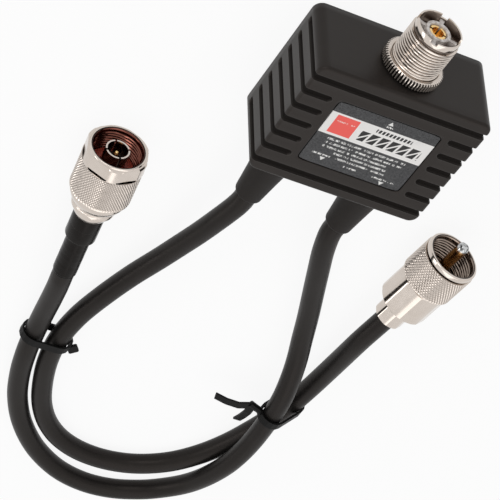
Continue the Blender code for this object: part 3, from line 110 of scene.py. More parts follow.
# %% Signals and finishes
def operation(name, swapped=False):
    """A method that adds one Math node; `swapped` puts the signal last, as in 1 - mask."""

    def method(self, *others):
        values = (*others, self) if swapped else (self, *others)
        return self.nodes.node("ShaderNodeMath", {"operation": name}, dict(enumerate(values)))

    return method


class Signal:
    """A node's output that takes part in sums."""

    def __init__(self, nodes, socket):
        self.nodes = nodes
        self.socket = socket

    __add__ = __radd__ = operation("ADD")
    __sub__ = operation("SUBTRACT")
    __rsub__ = operation("SUBTRACT", swapped=True)
    __mul__ = __rmul__ = operation("MULTIPLY")
    __gt__ = operation("GREATER_THAN")
    __lt__ = operation("LESS_THAN")
    __abs__ = operation("ABSOLUTE")
    floor = operation("FLOOR")
    root = operation("SQRT")
    larger = operation("MAXIMUM")

    def rise(self, low, high):
        """0 below `low`, 1 above `high`, and a soft step between them."""
        settings = {"interpolation_type": "SMOOTHSTEP"}
        return self.nodes.node("ShaderNodeMapRange", settings, {0: self, 1: low, 2: high})


class Nodes:
    """The nodes of a material or a world."""

    def __init__(self, owner):
        owner.use_nodes = True
        self.tree = owner.node_tree

    def node(self, kind, settings=None, inputs=None, output=0):
        """Add a node: its settings first, then a value or a link for each input."""
        made = self.tree.nodes.new(kind)
        for key, value in (settings or {}).items():
            setattr(made, key, value)
        for key, value in (inputs or {}).items():
            self.join(value, made.inputs[key])
        return Signal(self, made.outputs[output])

    def join(self, value, socket):
        """Link a signal to a socket, or set a plain value there."""
        if isinstance(value, Signal):
            self.tree.links.new(value.socket, socket)
        else:
            socket.default_value = value


class Finish(Nodes):
    """A Principled material whose inputs are fed with signals and plain values."""

    def __init__(self, name, **constants):
        self.material = bpy.data.materials.new(name)
        super().__init__(self.material)
        self.shader = self.tree.nodes["Principled BSDF"]
        for socket, value in constants.items():
            self.feed(socket.replace("_", " "), value)
        self.place = self.node("ShaderNodeTexCoord", output="Object")

    def feed(self, socket, value):
        """Give one of the shader's inputs a signal or a plain value."""
        self.join(value, self.shader.inputs[socket])

    def axis(self, number):
        """How far along X, Y or Z a point of the object lies, in millimetres."""
        return self.node("ShaderNodeSeparateXYZ", None, {0: self.place}, number) * PER_METRE

    def noise(self, size, detail=2.0, stretch=None):
        """Soft noise from 0 to 1 whose grains are `size` millimetres across."""
        place = self.place
        if stretch is not None:
            settings = {"operation": "MULTIPLY"}
            place = self.node("ShaderNodeVectorMath", settings, {0: place, 1: stretch})
        inputs = {"Vector": place, "Scale": PER_METRE / size, "Detail": detail, "Roughness": 0.55}
        return self.node("ShaderNodeTexNoise", inputs=inputs)

    def colours(self, amount, first, second):
        """Mix two colours by a signal."""
        first = first if isinstance(first, Signal) else (*first, 1.0)
        second = second if isinstance(second, Signal) else (*second, 1.0)
        settings = {"data_type": "RGBA"}
        return self.node("ShaderNodeMix", settings, {0: amount, 6: first, 7: second}, output=2)

    def attribute(self, name):
        """A number that the mesh itself carries at each vertex; 0 where it carries none."""
        return self.node("ShaderNodeAttribute", {"attribute_name": name}, output="Fac")

    def bump(self, height, distance, strength):
        """Raise the surface by `height` times `distance` millimetres, in light only."""
        inputs = {"Height": height, "Distance": distance * MM, "Strength": strength}
        self.feed("Normal", self.node("ShaderNodeBump", inputs=inputs, output="Normal"))


def mottled(name, size, dark, pale, rough, detail=2.0, **constants):
    """A finish whose colour and roughness drift together, on one soft noise.

    `rough` is the least roughness and how much the noise adds to it.
    """
    made = Finish(name, **constants)
    made.drift = made.noise(size, detail)
    made.colour = made.colours(made.drift, dark, pale)
    made.feed("Base Color", made.colour)
    made.feed("Roughness", rough[0] + made.drift * rough[1])
    return made


def dress(finish, *pieces):
    """Give pieces, or CAD nodes by name, one finish."""
    for piece in pieces:
        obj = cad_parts[piece] if isinstance(piece, str) else piece
        obj.data.materials.clear()
        obj.data.materials.append(finish.material)


# %% [markdown]
# ## Black plastics
#
# The box is moulded in a spark-eroded tool, which prints a fine even grain, so light spreads over
# it in a soft grey sheen. The cable's jacket is extruded and smoother, and shows low waves along
# it. The boots are a softer, duller rubber, the heat-shrunk tube is glossy, and the ties are a thin
# dull tape. All of them are nearly black, and only how they scatter light tells them apart.

# %% Black finishes
WARM = {"Specular_Tint": (1.0, 0.87, 0.79, 1.0)}

moulding = Finish("black_moulding", Specular_IOR_Level=0.22, **WARM)
grain = moulding.noise(0.42)
patches = moulding.noise(9.0)
# The grooves are painted darker, as shade, and a thin painted highlight runs along their edges; the
# mesh carries where both are.
in_groove = moulding.attribute("groove")
plain = moulding.colours(patches, (0.0100, 0.0086, 0.0080), (0.0155, 0.0134, 0.0124))
groove_painted_shade = moulding.colours(in_groove, plain, (0.0015, 0.0013, 0.0012))
edge_painted_highlight = moulding.colours(moulding.attribute("groove_edge"), groove_painted_shade, (0.050, 0.047, 0.045))
moulding.feed("Base Color", edge_painted_highlight)
moulding.feed("Roughness", 0.32 + grain * 0.10 + patches * 0.05 + in_groove * 0.45)
moulding.bump(grain, 0.04, 0.5)

jacket = Finish("cable_jacket", Specular_IOR_Level=0.16, **WARM)
speck = jacket.noise(0.5, detail=3.0)
waves = jacket.noise(7.0)
jacket.feed("Base Color", jacket.colours(waves, (0.009, 0.0081, 0.0077), (0.014, 0.0127, 0.012)))
jacket.feed("Roughness", 0.28 + speck * 0.08 + waves * 0.12)
jacket.bump(speck * 0.25 + waves * 0.75, 0.07, 0.45)

rubber = Finish("boot_rubber", Specular_IOR_Level=0.17, **WARM)
pores = rubber.noise(0.6, detail=3.0)
bloom = rubber.noise(5.0)
rubber.feed("Base Color", rubber.colours(bloom, (0.008, 0.0073, 0.007), (0.013, 0.0118, 0.0112)))
rubber.feed("Roughness", 0.42 + pores * 0.12 + bloom * 0.06)
rubber.bump(pores, 0.05, 0.5)

tube_black = ((0.004, 0.0037, 0.0035), (0.009, 0.0083, 0.008))
glossy = {"Specular_IOR_Level": 0.11, **WARM}
shrink_tube = mottled("shrink_tube", 2.4, *tube_black, (0.16, 0.16), **glossy)
shrink_tube.bump(shrink_tube.drift, 0.04, 0.3)
tape_black = ((0.0015, 0.0014, 0.0013), (0.006, 0.0056, 0.0054))
tie_tape = mottled("tie_tape", 0.4, *tape_black, (0.38, 0.2), Specular_IOR_Level=0.12)

dress(jacket, "low_cable_tail", "high_cable_tail")
dress(tie_tape, "tie_left", "tie_right")
dress(moulding, "back_cover")
blacks = (moulding, jacket, rubber, shrink_tube, tie_tape)
print("black finishes:", *(finish.material.name for finish in blacks))

# %% [markdown]
# ## Metals and small parts
#
# The connectors are nickel on brass: a warm pale mirror, a little clouded, with fine turning marks.
# The contacts are gold. The insulators, gasket, screws and the circuit inside the box get finishes
# of their own, because each can be seen where the housing or a plug is taken apart.

# %% Metal finishes
NICKEL_DULL = (0.56, 0.495, 0.44)
NICKEL_BRIGHT = (0.66, 0.595, 0.54)
# Painted shade for the roots of threads and knurls and for narrow gaps.
ROOT_SHADE = (0.030, 0.024, 0.021)


def plated(name, place=None, rings=(), bore=0.0, bore_shade=None, floor=0.0):
    """Nickel, with painted shade in the roots of a turned piece's knurl, thread and gaps.

    The distance to the piece's axis tells crests from roots, and the distance along the axis tells
    one ring from the next: each ring is (from, to, root radius, crest radius, painted root shade).
    Within `bore` of the axis and above `floor` the plating takes a darker colour, painted shade
    inside the bore, and darker painted shade in the roots of an inner thread.
    """
    made = mottled(name, 3.0, NICKEL_DULL, NICKEL_BRIGHT, (0.09, 0.10), 3.0, Metallic=1.0)
    if place is None:
        return made
    origin, turn = place
    x, y, z = (made.axis(number) - origin[number] for number in range(3))
    along = x * math.sin(turn) + y * math.cos(turn)
    side = x * math.cos(turn) - y * math.sin(turn)
    away = (side * side + z * z).root()
    outside = away > bore
    colour = made.colour
    for low, high, root, crest, dark in rings:
        on_ring = (along > low) * (along < high) * outside
        colour = made.colours(on_ring * (1.0 - away.rise(root, crest)), colour, dark)
    if bore_shade is not None:
        inside = (1.0 - outside) * (along > floor)
        colour = made.colours(inside, colour, bore_shade)
        deep = inside * away.rise(bore - 0.65, bore - 0.25)
        colour = made.colours(deep, colour, ROOT_SHADE)
    made.feed("Base Color", colour)
    return made


nickel = plated("nickel")
metal = {"Metallic": 1.0}
gold = mottled("gold", 1.6, (0.70, 0.44, 0.17), (0.95, 0.72, 0.36), (0.14, 0.14), 3.0, **metal)
copper = mottled("copper_wire", 1.1, (0.58, 0.24, 0.11), (0.82, 0.42, 0.22), (0.16, 0.14), **metal)
steels = ((0.10, 0.10, 0.105), (0.30, 0.30, 0.31))
screw_steel = mottled("screw_steel", 0.9, *steels, (0.25, 0.25), 3.0, **metal)
browns = ((0.022, 0.014, 0.010), (0.055, 0.030, 0.018))
phenolic = mottled("dark_insulator", 0.7, *browns, (0.22, 0.14))
gasket = mottled("red_gasket", 0.8, (0.24, 0.03, 0.018), (0.42, 0.07, 0.04), (0.38, 0.22), 3.0)

dip = Finish("capacitor_dip", Roughness=0.35)
drip = dip.noise(1.4)
dip.feed("Base Color", dip.colours(drip, (0.45, 0.22, 0.06), (0.65, 0.38, 0.13)))
dip.bump(drip, 0.08, 0.5)

frosted = Finish("socket_insulator")
flow = frosted.noise(1.6, detail=3.0)
# Deep in the pockets the core is painted darker, as shade, in soft dark and lighter patches; the
# hub and the ribs' tops stay pale.
in_pocket = 1.0 - frosted.axis(1).rise(HALF_Y + 13.4, HALF_Y + 16.2)
pocket_patches = frosted.noise(4.0, detail=1.0).rise(0.40, 0.60)
upper = frosted.colours(flow.rise(0.35, 0.65), (0.42, 0.37, 0.34), (0.72, 0.68, 0.65))
pocket_shade = frosted.colours(pocket_patches, (0.11, 0.075, 0.062), (0.42, 0.385, 0.36))
frosted.feed("Base Color", frosted.colours(in_pocket, upper, pocket_shade))
frosted.feed("Roughness", 0.08 + flow * 0.14)

board = Finish("circuit_board")
tracks = board.noise(2.6, detail=0.0, stretch=(1.0, 0.35, 1.0)).rise(0.52, 0.54)
board.feed("Base Color", board.colours(tracks, (0.02, 0.10, 0.04), (0.06, 0.24, 0.10)))
board.feed("Roughness", 0.3 + tracks * 0.2)

dress(board, "circuit_board")
dress(nickel, "shield_wall")
dress(copper, "antenna_lead", *[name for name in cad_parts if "coil" in name])
dress(dip, *[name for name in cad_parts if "capacitor" in name])
dress(screw_steel, *[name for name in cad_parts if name.startswith("cover_screw")])
print("materials so far:", len(bpy.data.materials))

# %% [markdown]
# ## Grids of faces
#
# Nearly every piece here is a grid: rows along one direction, columns along the other, worked out
# as one numpy array. A grid that closes on itself wraps its last row or column to its first. Points
# that land on the same spot are merged afterwards, which closes seams, and turns a row that has
# shrunk to one point into a pole.

# %% From arrays to a mesh
def grid_faces(rows, columns, wrap_rows=False, wrap_columns=False):
    """Corner numbers of each square between neighbouring rows and columns."""
    i = np.arange(rows if wrap_rows else rows - 1)[:, None]
    j = np.arange(columns if wrap_columns else columns - 1)[None, :]
    below = (i + 1) % rows * columns
    after = (j + 1) % columns
    corners = (i * columns + j, i * columns + after, below + after, below + j)
    return np.stack([np.broadcast_to(c, (i.size, j.size)) for c in corners], -1).reshape(-1, 4)


def make_piece(name, node, shapes, finish, body=MAIN, sharp=35.0):
    """One mesh from (points, faces) pairs, which stands for one node of the solid model.

    The points are in millimetres. Each pair counts its points from 0, so its faces are moved up by
    the number of points before it. Doubles are merged and faces are turned outwards.
    """
    offsets = np.cumsum([0] + [len(points) for points, faces in shapes])
    points = np.concatenate([points for points, faces in shapes]) * MM
    faces = np.concatenate([shape[1] + offset for shape, offset in zip(shapes, offsets)])
    mesh = bpy.data.meshes.new(name)
    mesh.from_pydata(points, [], faces)
    merged = bmesh.new()
    merged.from_mesh(mesh)
    bmesh.ops.remove_doubles(merged, verts=merged.verts, dist=0.000002)
    bmesh.ops.recalc_face_normals(merged, faces=merged.faces)
    merged.to_mesh(mesh)
    open_edges = sum(1 for edge in merged.edges if len(edge.link_faces) != 2)
    merged.free()
    mesh.shade_smooth()
    mesh.set_sharp_from_angle(angle=math.radians(sharp))
    piece = bpy.data.objects.new(name, mesh)
    bpy.context.scene.collection.objects.link(piece)
    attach(piece, body)
    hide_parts(node)
    dress(finish, piece)
    print(name, len(mesh.polygons), "faces,", open_edges, "open edges")
    return piece


# %% [markdown]
# ## Turned pieces
#
# A lathe part is a profile of radius and height, turned about an axis. Real turned edges are never
# knife sharp, so each corner of the profile is first eased by a small curve: that is what draws the
# thin bright lines along metal edges. Knurls, flats, threads and notches then bend the turned
# surface, each as a formula on radius, height and angle.

# %% Profiles, lathe and axes
def soften(profile, reach, closed=True):
    """Each corner becomes a short parabola that starts and ends `reach` away along its sides."""
    corners = np.asarray(profile, dtype=float)
    blend = np.array((0.0, 0.5, 1.0))[None, :, None]

    def towards(other):
        side = other - corners
        length = np.linalg.norm(side, axis=1, keepdims=True)
        moved = corners + side / np.maximum(length, 1e-9) * np.minimum(reach, 0.45 * length)
        return moved[:, None]

    start = towards(np.roll(corners, 1, axis=0))
    end = towards(np.roll(corners, -1, axis=0))
    bent = (1 - blend) ** 2 * start + 2 * blend * (1 - blend) * corners[:, None] + blend**2 * end
    if closed:
        return bent.reshape(-1, 2)
    return np.concatenate([corners[:1], bent[1:-1].reshape(-1, 2), corners[-1:]])


def straight(radius, start, end, rows):
    """Profile points at one radius, evenly spread from one height to another."""
    return np.column_stack([np.full(rows, radius), np.linspace(start, end, rows)])


def lathe(profile, columns=96, bend=None, closed=True, angles=None):
    """Turn a profile about Z: x = radius * cos(angle), y = radius * sin(angle), z = height.

    `bend` takes and returns radius and height, and sees the angle, so it can cut flats or teeth.
    """
    profile = np.asarray(profile, dtype=float)
    if angles is None:
        angles = np.arange(columns) * 2 * np.pi / columns
    radius = np.repeat(profile[:, :1], len(angles), axis=1)
    height = np.repeat(profile[:, 1:], len(angles), axis=1)
    if bend is not None:
        radius, height = bend(radius, height, angles[None, :])
    points = np.stack([radius * np.cos(angles), radius * np.sin(angles), height], axis=-1)
    faces = grid_faces(len(profile), len(angles), wrap_rows=closed, wrap_columns=True)
    return points.reshape(-1, 3), faces


def seat(shape, origin, turn):
    """Lay a turned shape down: its Z points from +Y towards +X by `turn`, and its Y points down."""
    points, faces = shape
    sine, cosine = math.sin(turn), math.cos(turn)
    basis = np.array(((cosine, -sine, 0.0), (0.0, 0.0, -1.0), (sine, cosine, 0.0)))
    return points @ basis + np.asarray(origin), faces


def saw(phase):
    """A ridge in each whole number of the phase: 0 on the number, 1 halfway to the next."""
    return 1.0 - np.abs(2.0 * (phase - np.floor(phase)) - 1.0)


def unit(value):
    """Hold a value between 0 and 1."""
    return np.clip(value, 0.0, 1.0)


def quarters(turn):
    """Four angles, a quarter turn apart."""
    return turn + np.arange(4) * np.pi / 2


def quarter_offset(angle, middles):
    """How far an angle is from the nearest of four middles, a quarter turn apart."""
    return np.abs((angle[..., None] - middles + np.pi / 4) % (np.pi / 2) - np.pi / 4).min(axis=-1)


def with_edges(count, middles, half):
    """Even angles round a circle, and a close pair at each side of every middle."""
    edges = (middles[:, None] + np.array((-half, -half + 0.004, half - 0.004, half))).ravel()
    return np.sort(np.concatenate([np.arange(count) * 2 * np.pi / count, edges % (2 * np.pi)]))


# %% [markdown]
# ## The two cords
#
# Both leads are the same stiff coaxial cable, 7.4 mm across. Each leaves its boot straight, comes
# down to the floor, lies in the loop that the photograph shows and runs straight into its plug.
# The routes repeat the solid model's own points. A smooth curve goes through them, and a circle is
# carried along it.

# %% Routes and tubes
BOOT_HEIGHT = 14.0
BOOT_ACROSS = 16.1
BOOT_LENGTH = 23.2
STRAIGHT_END = 3.0
N_BACK = 30.4 + JOINT_GAP + 11.6 + JOINT_GAP + 17.5
UHF_BACK = 35.9

LOW_ROUTE = [
    (-16.6, -54.3, 13.8), (-18.0, -62.5, 12.8), (-19.6, -73.0, 10.9), (-21.5, -82.9, 9.1),
    (-23.9, -93.5, 7.5), (-27.8, -107.4, 6.0), (-31.8, -122.9, 5.2), (-34.4, -135.8, 4.9),
    (-35.2, -148.6, 4.9), (-33.6, -161.1, 4.6), (-30.0, -173.7, 4.1), (-25.3, -185.1, 3.8),
    (-19.0, -194.4, 3.8), (-10.8, -201.3, 3.8), (-0.8, -205.2, 3.8), (10.2, -205.8, 3.8),
    (20.9, -203.1, 3.8), (30.8, -196.9, 3.8), (38.6, -188.0, 3.8), (44.3, -177.6, 4.0),
    (48.2, -166.4, 4.5), (51.3, -155.5, 4.9), (53.5, -146.2, 4.9), (55.0, -136.3, 4.8),
    (55.6, -124.5, 5.6), (55.3, -111.4, 7.6), (55.0, -99.0, 9.5),
]
HIGH_ROUTE = [
    (16.8, -54.0, 13.8), (19.2, -61.7, 13.1), (22.8, -70.9, 12.0), (27.6, -82.8, 10.4),
    (33.1, -96.7, 9.1), (37.2, -108.3, 8.9), (40.5, -118.2, 9.8), (42.9, -127.8, 11.2),
    (44.6, -137.6, 12.5), (45.7, -149.6, 12.9), (46.2, -163.8, 12.9), (45.2, -176.8, 12.6),
    (43.2, -189.5, 10.6), (40.2, -201.0, 7.8), (35.1, -210.3, 5.4), (28.0, -217.1, 4.1),
    (18.1, -221.2, 3.8), (6.9, -221.7, 3.8), (-4.9, -218.2, 3.8), (-16.9, -210.0, 3.8),
    (-27.1, -198.4, 3.8), (-34.4, -185.6, 3.9), (-39.1, -172.7, 4.3), (-42.2, -160.1, 4.9),
    (-44.0, -149.0, 4.9), (-45.6, -138.2, 5.8), (-47.3, -127.9, 7.7), (-49.0, -118.5, 9.5),
]


def on_axis(place, back):
    """A point on a plug's axis, `back` behind its rim."""
    (x, y, z), turn = place
    return np.array((x - back * math.sin(turn), y - back * math.cos(turn), z))


def boot_point(side, out):
    """A point on a boot's axis, `out` from the housing's face."""
    return np.array((side * BOOT_ACROSS, -HALF_Y - out, BOOT_HEIGHT))


def smooth_route(knots, spacing):
    """Points at even spacing on the Catmull-Rom curve through the inner knots."""
    knots = np.asarray(knots, dtype=float)
    a, b, c, d = knots[:-3, None], knots[1:-2, None], knots[2:-1, None], knots[3:, None]
    t = np.linspace(0.0, 1.0, 32, endpoint=False)[None, :, None]
    square = (2 * a - 5 * b + 4 * c - d) * t**2
    fine = 2 * b + (c - a) * t + square + (3 * b - a - 3 * c + d) * t**3
    fine = np.concatenate([0.5 * fine.reshape(-1, 3), knots[-2:-1]])
    reach = np.concatenate([[0.0], np.cumsum(np.linalg.norm(np.diff(fine, axis=0), axis=1))])
    even = np.linspace(0.0, reach[-1], round(reach[-1] / spacing) + 1)
    return np.stack([np.interp(even, reach, fine[:, axis]) for axis in range(3)], axis=1)


def tube(path, radius, columns=32):
    """Carry a circle along a path that never stands upright, with a flat cap at each end.

    At each point the circle's two arms are the level direction square to the path, and the one
    square to both.
    """
    path = np.concatenate([path[:1], path, path[-1:]])
    along = np.gradient(path[1:-1], axis=0)
    along = np.concatenate([along[:1], along, along[-1:]])
    along /= np.linalg.norm(along, axis=1, keepdims=True)
    level = np.cross(along, (0.0, 0.0, 1.0))
    level /= np.linalg.norm(level, axis=1, keepdims=True)
    rise = np.cross(level, along)
    size = np.full(len(path), float(radius))
    size[[0, -1]] = 0.0
    turn = (np.arange(columns) * 2 * np.pi / columns)[None, :, None]
    around = np.cos(turn) * level[:, None] + np.sin(turn) * rise[:, None]
    points = path[:, None] + size[:, None, None] * around
    return points.reshape(-1, 3), grid_faces(len(path), columns, wrap_columns=True)


def cord_path(side, route, place, back):
    """Straight out of the boot, along the route and straight into the plug."""
    start = BOOT_LENGTH + JOINT_GAP
    end = back + JOINT_GAP
    knots = [boot_point(side, start), boot_point(side, start + STRAIGHT_END), *route]
    knots += [on_axis(place, end + STRAIGHT_END), on_axis(place, end)]
    return np.concatenate([[knots[0]], smooth_route(knots, 2.0), [knots[-1]]])


def path_length(path):
    """The length of a line of points, in metres."""
    return float(np.linalg.norm(np.diff(path, axis=0), axis=1).sum()) * MM


low_path = cord_path(-1, LOW_ROUTE, UHF_PLACE, UHF_BACK)
high_path = cord_path(1, HIGH_ROUTE, N_PLACE, N_BACK)
low_cord = make_piece("low_cord", "low_cable", [tube(low_path, CABLE_DIAMETER / 2)], jacket)
high_cord = make_piece("high_cord", "high_cable", [tube(high_path, CABLE_DIAMETER / 2)], jacket)
print("cord lengths in metres:", round(path_length(low_path), 3), round(path_length(high_path), 3))

# %% [markdown]
# ## The ribbed housing
#
# The box is one surface. A line runs up an end face, round the front edge, across the label's face
# and down the other end, and this line is carried from the bottom face to the top face and round
# the upright corners. The grooves press it inwards along its normal. Each groove is a trough with
# round ends, so how deep it is depends only on the distance to the groove's middle line.

# %% Housing measures
CORNER = 3.2
EDGE = 1.2
BACK_BEVEL = 0.3
GROOVE_PITCH = 6.25
GROOVES_EACH_SIDE = 3
GROOVE_RADIUS = 1.25
GROOVE_STAND_OFF = 0.2
GROOVE_HALF = math.sqrt(GROOVE_RADIUS**2 - GROOVE_STAND_OFF**2)
GROOVE_LOW = 3.0 + GROOVE_HALF
GROOVE_TIP = HALF_X + GROOVE_STAND_OFF - 9.8 + GROOVE_HALF
ACROSS_GROOVE = np.array((0.0, 0.3, 0.6, 0.85, 1.02, 1.14, 1.2, 1.234, 1.3, 1.42))
LABEL_HALF = np.array((34.7, 26.3)) / 2
LABEL_CORNER = 1.4
RECESS = LABEL_HALF + 0.3
WINDOW = RECESS + 0.6
STRAIGHT_X = 24.0
NEAR = 1e-3


def around(values):
    """The same steps on both sides of 0."""
    return np.concatenate([-values[:0:-1], values])


def groove_depth(across, past_end):
    """A round trough: the depth falls off with the distance to the middle line."""
    away = np.hypot(across, np.maximum(past_end, 0.0))
    return np.sqrt(np.maximum(GROOVE_RADIUS**2 - away**2, GROOVE_STAND_OFF**2)) - GROOVE_STAND_OFF


def end_lines():
    """Where the lines run: distance along the end face, then round the corner."""
    flat = HALF_Y - CORNER
    numbers = range(-GROOVES_EACH_SIDE, GROOVES_EACH_SIDE + 1)
    near_grooves = [k * GROOVE_PITCH + around(ACROSS_GROOVE) for k in numbers]
    round_corner = flat + CORNER * np.linspace(0.0, np.pi / 2, 13)[1:]
    others = np.array((WINDOW[1], 3.1, 9.4, 15.6, flat, *round_corner))
    lines = np.concatenate([*near_grooves, others, -others])
    lines = np.unique(np.round(lines, 4))
    return lines[np.abs(lines) <= flat + CORNER * np.pi / 2 + NEAR]


def steps_up():
    """Heights of the rows up a wall, close together where the grooves begin."""
    low_end = GROOVE_LOW - ACROSS_GROOVE[::-1]
    return np.concatenate([[0.0, 0.3], low_end, np.linspace(GROOVE_LOW + 1.0, DEPTH - EDGE, 9)])


def steps_in():
    """Distances from the middle of the label's face, from its edge inwards."""
    tip = GROOVE_TIP - around(ACROSS_GROOVE)[10:]
    outer = np.array((27.0, 25.6, STRAIGHT_X, 22.6))
    inner = np.array((WINDOW[0], 17.2, 15.5, 13.0, 10.0, 7.0, 3.5))
    return np.concatenate([outer, [GROOVE_TIP], tip, inner])


# %% Housing surface
def housing_half(lines):
    """One end of the box: up its end face, over the rounded edge and in along the label's face.

    Each row has one distance from the upright corners' axes, one height and one slope of its
    normal. On the face the rows first follow the rounded outline, then run straight.
    """
    flat = HALF_Y - CORNER
    swing = np.clip((np.abs(lines) - flat) / CORNER, 0.0, np.pi / 2)
    cosine, sine = np.cos(swing), np.sin(swing) * np.sign(lines)
    up = steps_up()
    fold = np.linspace(0.0, np.pi / 2, 9)[1:]
    face_x = steps_in()[:, None]
    radius = np.concatenate([np.full(len(up), CORNER), CORNER - EDGE + EDGE * np.cos(fold)])
    radius[0] -= BACK_BEVEL
    x = HALF_X - CORNER + np.outer(radius, cosine)
    y = np.clip(lines, -flat, flat) + np.outer(radius, sine)
    share = (HALF_X - EDGE - face_x) / (HALF_X - EDGE - STRAIGHT_X)
    rounded = x[-1] + (STRAIGHT_X - x[-1]) * share
    x = np.concatenate([x, np.where(face_x >= STRAIGHT_X, rounded, face_x)])
    y = np.concatenate([y, np.tile(y[-1], (len(face_x), 1))])
    on_face = np.full(len(face_x), 1.0)
    z = np.concatenate([up, DEPTH - EDGE + EDGE * np.sin(fold), DEPTH * on_face])[:, None]
    slope = np.concatenate([0.0 * up, fold, np.pi / 2 * on_face])[:, None]
    normals = (np.cos(slope) * cosine, np.cos(slope) * sine, np.sin(slope))
    points = np.stack(np.broadcast_arrays(x, y, z), -1)
    return points, np.stack(np.broadcast_arrays(*normals), -1)


def housing_sleeve():
    """The end faces, the rounded front edges, the upright corners and the label's face."""
    lines = end_lines()
    half, normals = housing_half(lines)
    x, y, z = np.moveaxis(half, -1, 0)
    past = np.where(z < DEPTH - EDGE, GROOVE_LOW - z, -1.0)
    short = np.where(z > DEPTH - 1e-6, GROOVE_TIP - x, past)
    depth = np.zeros(x.shape)
    for k in range(-GROOVES_EACH_SIDE, GROOVES_EACH_SIDE + 1):
        past_end = past if abs(k) == GROOVES_EACH_SIDE else short
        depth = np.maximum(depth, groove_depth(y - k * GROOVE_PITCH, past_end))
    right = half - normals * depth[..., None]
    middle = right[-1:] * (0.0, 1.0, 1.0)
    whole = np.concatenate([right, middle, right[::-1] * (-1.0, 1.0, 1.0)])
    faces = grid_faces(len(whole), len(lines))
    points = whole.reshape(-1, 3)
    centres = points[faces].mean(axis=1)
    window = (np.abs(centres[:, :2]) < WINDOW).all(axis=1) & (centres[:, 2] > DEPTH - NEAR)
    return (points, faces[~window]), whole, lines


def rounded_loop(points, half_size, corner):
    """The nearest place to each point on a rectangle with round corners."""
    box = half_size - corner
    held = np.clip(points, -box, box)
    away = points - held
    return held + corner * away / np.maximum(np.linalg.norm(away, axis=1, keepdims=True), 1e-9)


def loft(loops, pole=None):
    """Join loops of as many points each, given as (points in X and Y, height), into a skin."""
    rings = [np.column_stack([points, np.full(len(points), height)]) for points, height in loops]
    if pole is not None:
        rings.append(np.tile(np.asarray(pole, dtype=float), (len(rings[0]), 1)))
    grid = np.stack(rings)
    return grid.reshape(-1, 3), grid_faces(len(rings), len(rings[0]), wrap_columns=True)


def label_window(whole, lines):
    """The rim, walls and floor of the recess that the label sits in."""
    xs = whole[:, 0, 0]
    xs = np.unique(np.round(xs[np.abs(xs) < WINDOW[0] + NEAR], 4))
    ys = lines[np.abs(lines) <= WINDOW[1] + NEAR]
    top = np.column_stack([xs, np.full(len(xs), WINDOW[1])])
    side = np.column_stack([np.full(len(ys), WINDOW[0]), ys])
    loop = np.concatenate([side[:-1], top[:0:-1], -side[:-1], -top[:0:-1]])
    rim = rounded_loop(loop, RECESS + 0.15, LABEL_CORNER + 0.45)
    wall = rounded_loop(loop, RECESS, LABEL_CORNER + 0.3)
    floor = DEPTH - 0.8
    return loft([(loop, DEPTH), (rim, DEPTH), (wall, DEPTH - 0.15), (wall, floor)], (0, 0, floor))


def face_xs(line):
    """The X of those points of a line up and over the box that lie on the label's face."""
    return line[line[:, 2] > DEPTH - NEAR][:, 0]


def socket_side(whole, sign):
    """A connector face: its rounded front edge, then straight down to the back."""
    xs = face_xs(whole[:, -1 if sign > 0 else 0])
    up = steps_up()[::-1]
    fold = np.linspace(np.pi / 2, 0.0, 9)
    y = np.concatenate([HALF_Y - EDGE + EDGE * np.cos(fold), np.full(len(up), HALF_Y)])
    y[-1] -= BACK_BEVEL
    z = np.concatenate([DEPTH - EDGE + EDGE * np.sin(fold), up])
    grid = np.stack(np.broadcast_arrays(xs[None, :], sign * y[:, None], z[:, None]), -1)
    return grid.reshape(-1, 3), grid_faces(len(y), len(xs))


def housing_back(whole):
    """The rim on the floor, the step that the cover fits in and the skin behind the cover."""
    right = whole[0][:, :2]
    left = whole[-1][::-1, :2]
    xs = face_xs(whole[:, -1])[1:-1]
    top = np.column_stack([xs, np.full(len(xs), HALF_Y - BACK_BEVEL)])
    loop = np.concatenate([right, top, left, -top])
    step, seat_height = 1.4, 2.3
    seat_edge = rounded_loop(loop, np.array((HALF_X, HALF_Y)) - step, CORNER - step)
    loops = [(loop, 0.0), (seat_edge, 0.0), (seat_edge, seat_height)]
    return loft(loops, (0, 0, seat_height))


def mark_grooves(piece):
    """Tell the finish where the grooves and their edges are, from each vertex's own place.

    The finish paints shade in the grooves and a highlight along their edges. A groove's edge is
    where the distance to its middle line equals half its width.
    """
    mesh = piece.data
    points = np.empty(len(mesh.vertices) * 3, dtype=np.float32)
    mesh.vertices.foreach_get("co", points)
    x, y, z = points.reshape(-1, 3).T / MM
    x = np.abs(x)
    nearest = np.clip(np.round(y / GROOVE_PITCH), -GROOVES_EACH_SIDE, GROOVES_EACH_SIDE)
    on_face = x < HALF_X - EDGE
    past_face = np.where(np.abs(nearest) == GROOVES_EACH_SIDE, -1.0, GROOVE_TIP - x)
    past_end = np.where(on_face, past_face, GROOVE_LOW - z)
    away = np.hypot(y - nearest * GROOVE_PITCH, np.maximum(past_end, 0.0))
    skin = (np.abs(y) < HALF_Y - 0.5) & ((z > DEPTH - EDGE - 0.1) | ~on_face) & (z > 1.0)
    depth = unit((GROOVE_HALF - away) / 0.35) * skin
    edge = unit(1.0 - np.abs(away - GROOVE_HALF - 0.06) / 0.14) * skin
    for name, values in (("groove", depth), ("groove_edge", edge)):
        layer = mesh.attributes.new(name, "FLOAT", "POINT")
        layer.data.foreach_set("value", values.astype(np.float32))
    print("vertices in grooves:", int((depth > 0).sum()), "on their edges:", int((edge > 0).sum()))


sleeve, whole_sleeve, housing_lines = housing_sleeve()
sides = [socket_side(whole_sleeve, sign) for sign in (1, -1)]
recess = label_window(whole_sleeve, housing_lines)
skins = [sleeve, recess, *sides, housing_back(whole_sleeve)]
housing = make_piece("ribbed_housing", "housing_shell", skins, moulding, sharp=50.0)
mark_grooves(housing)

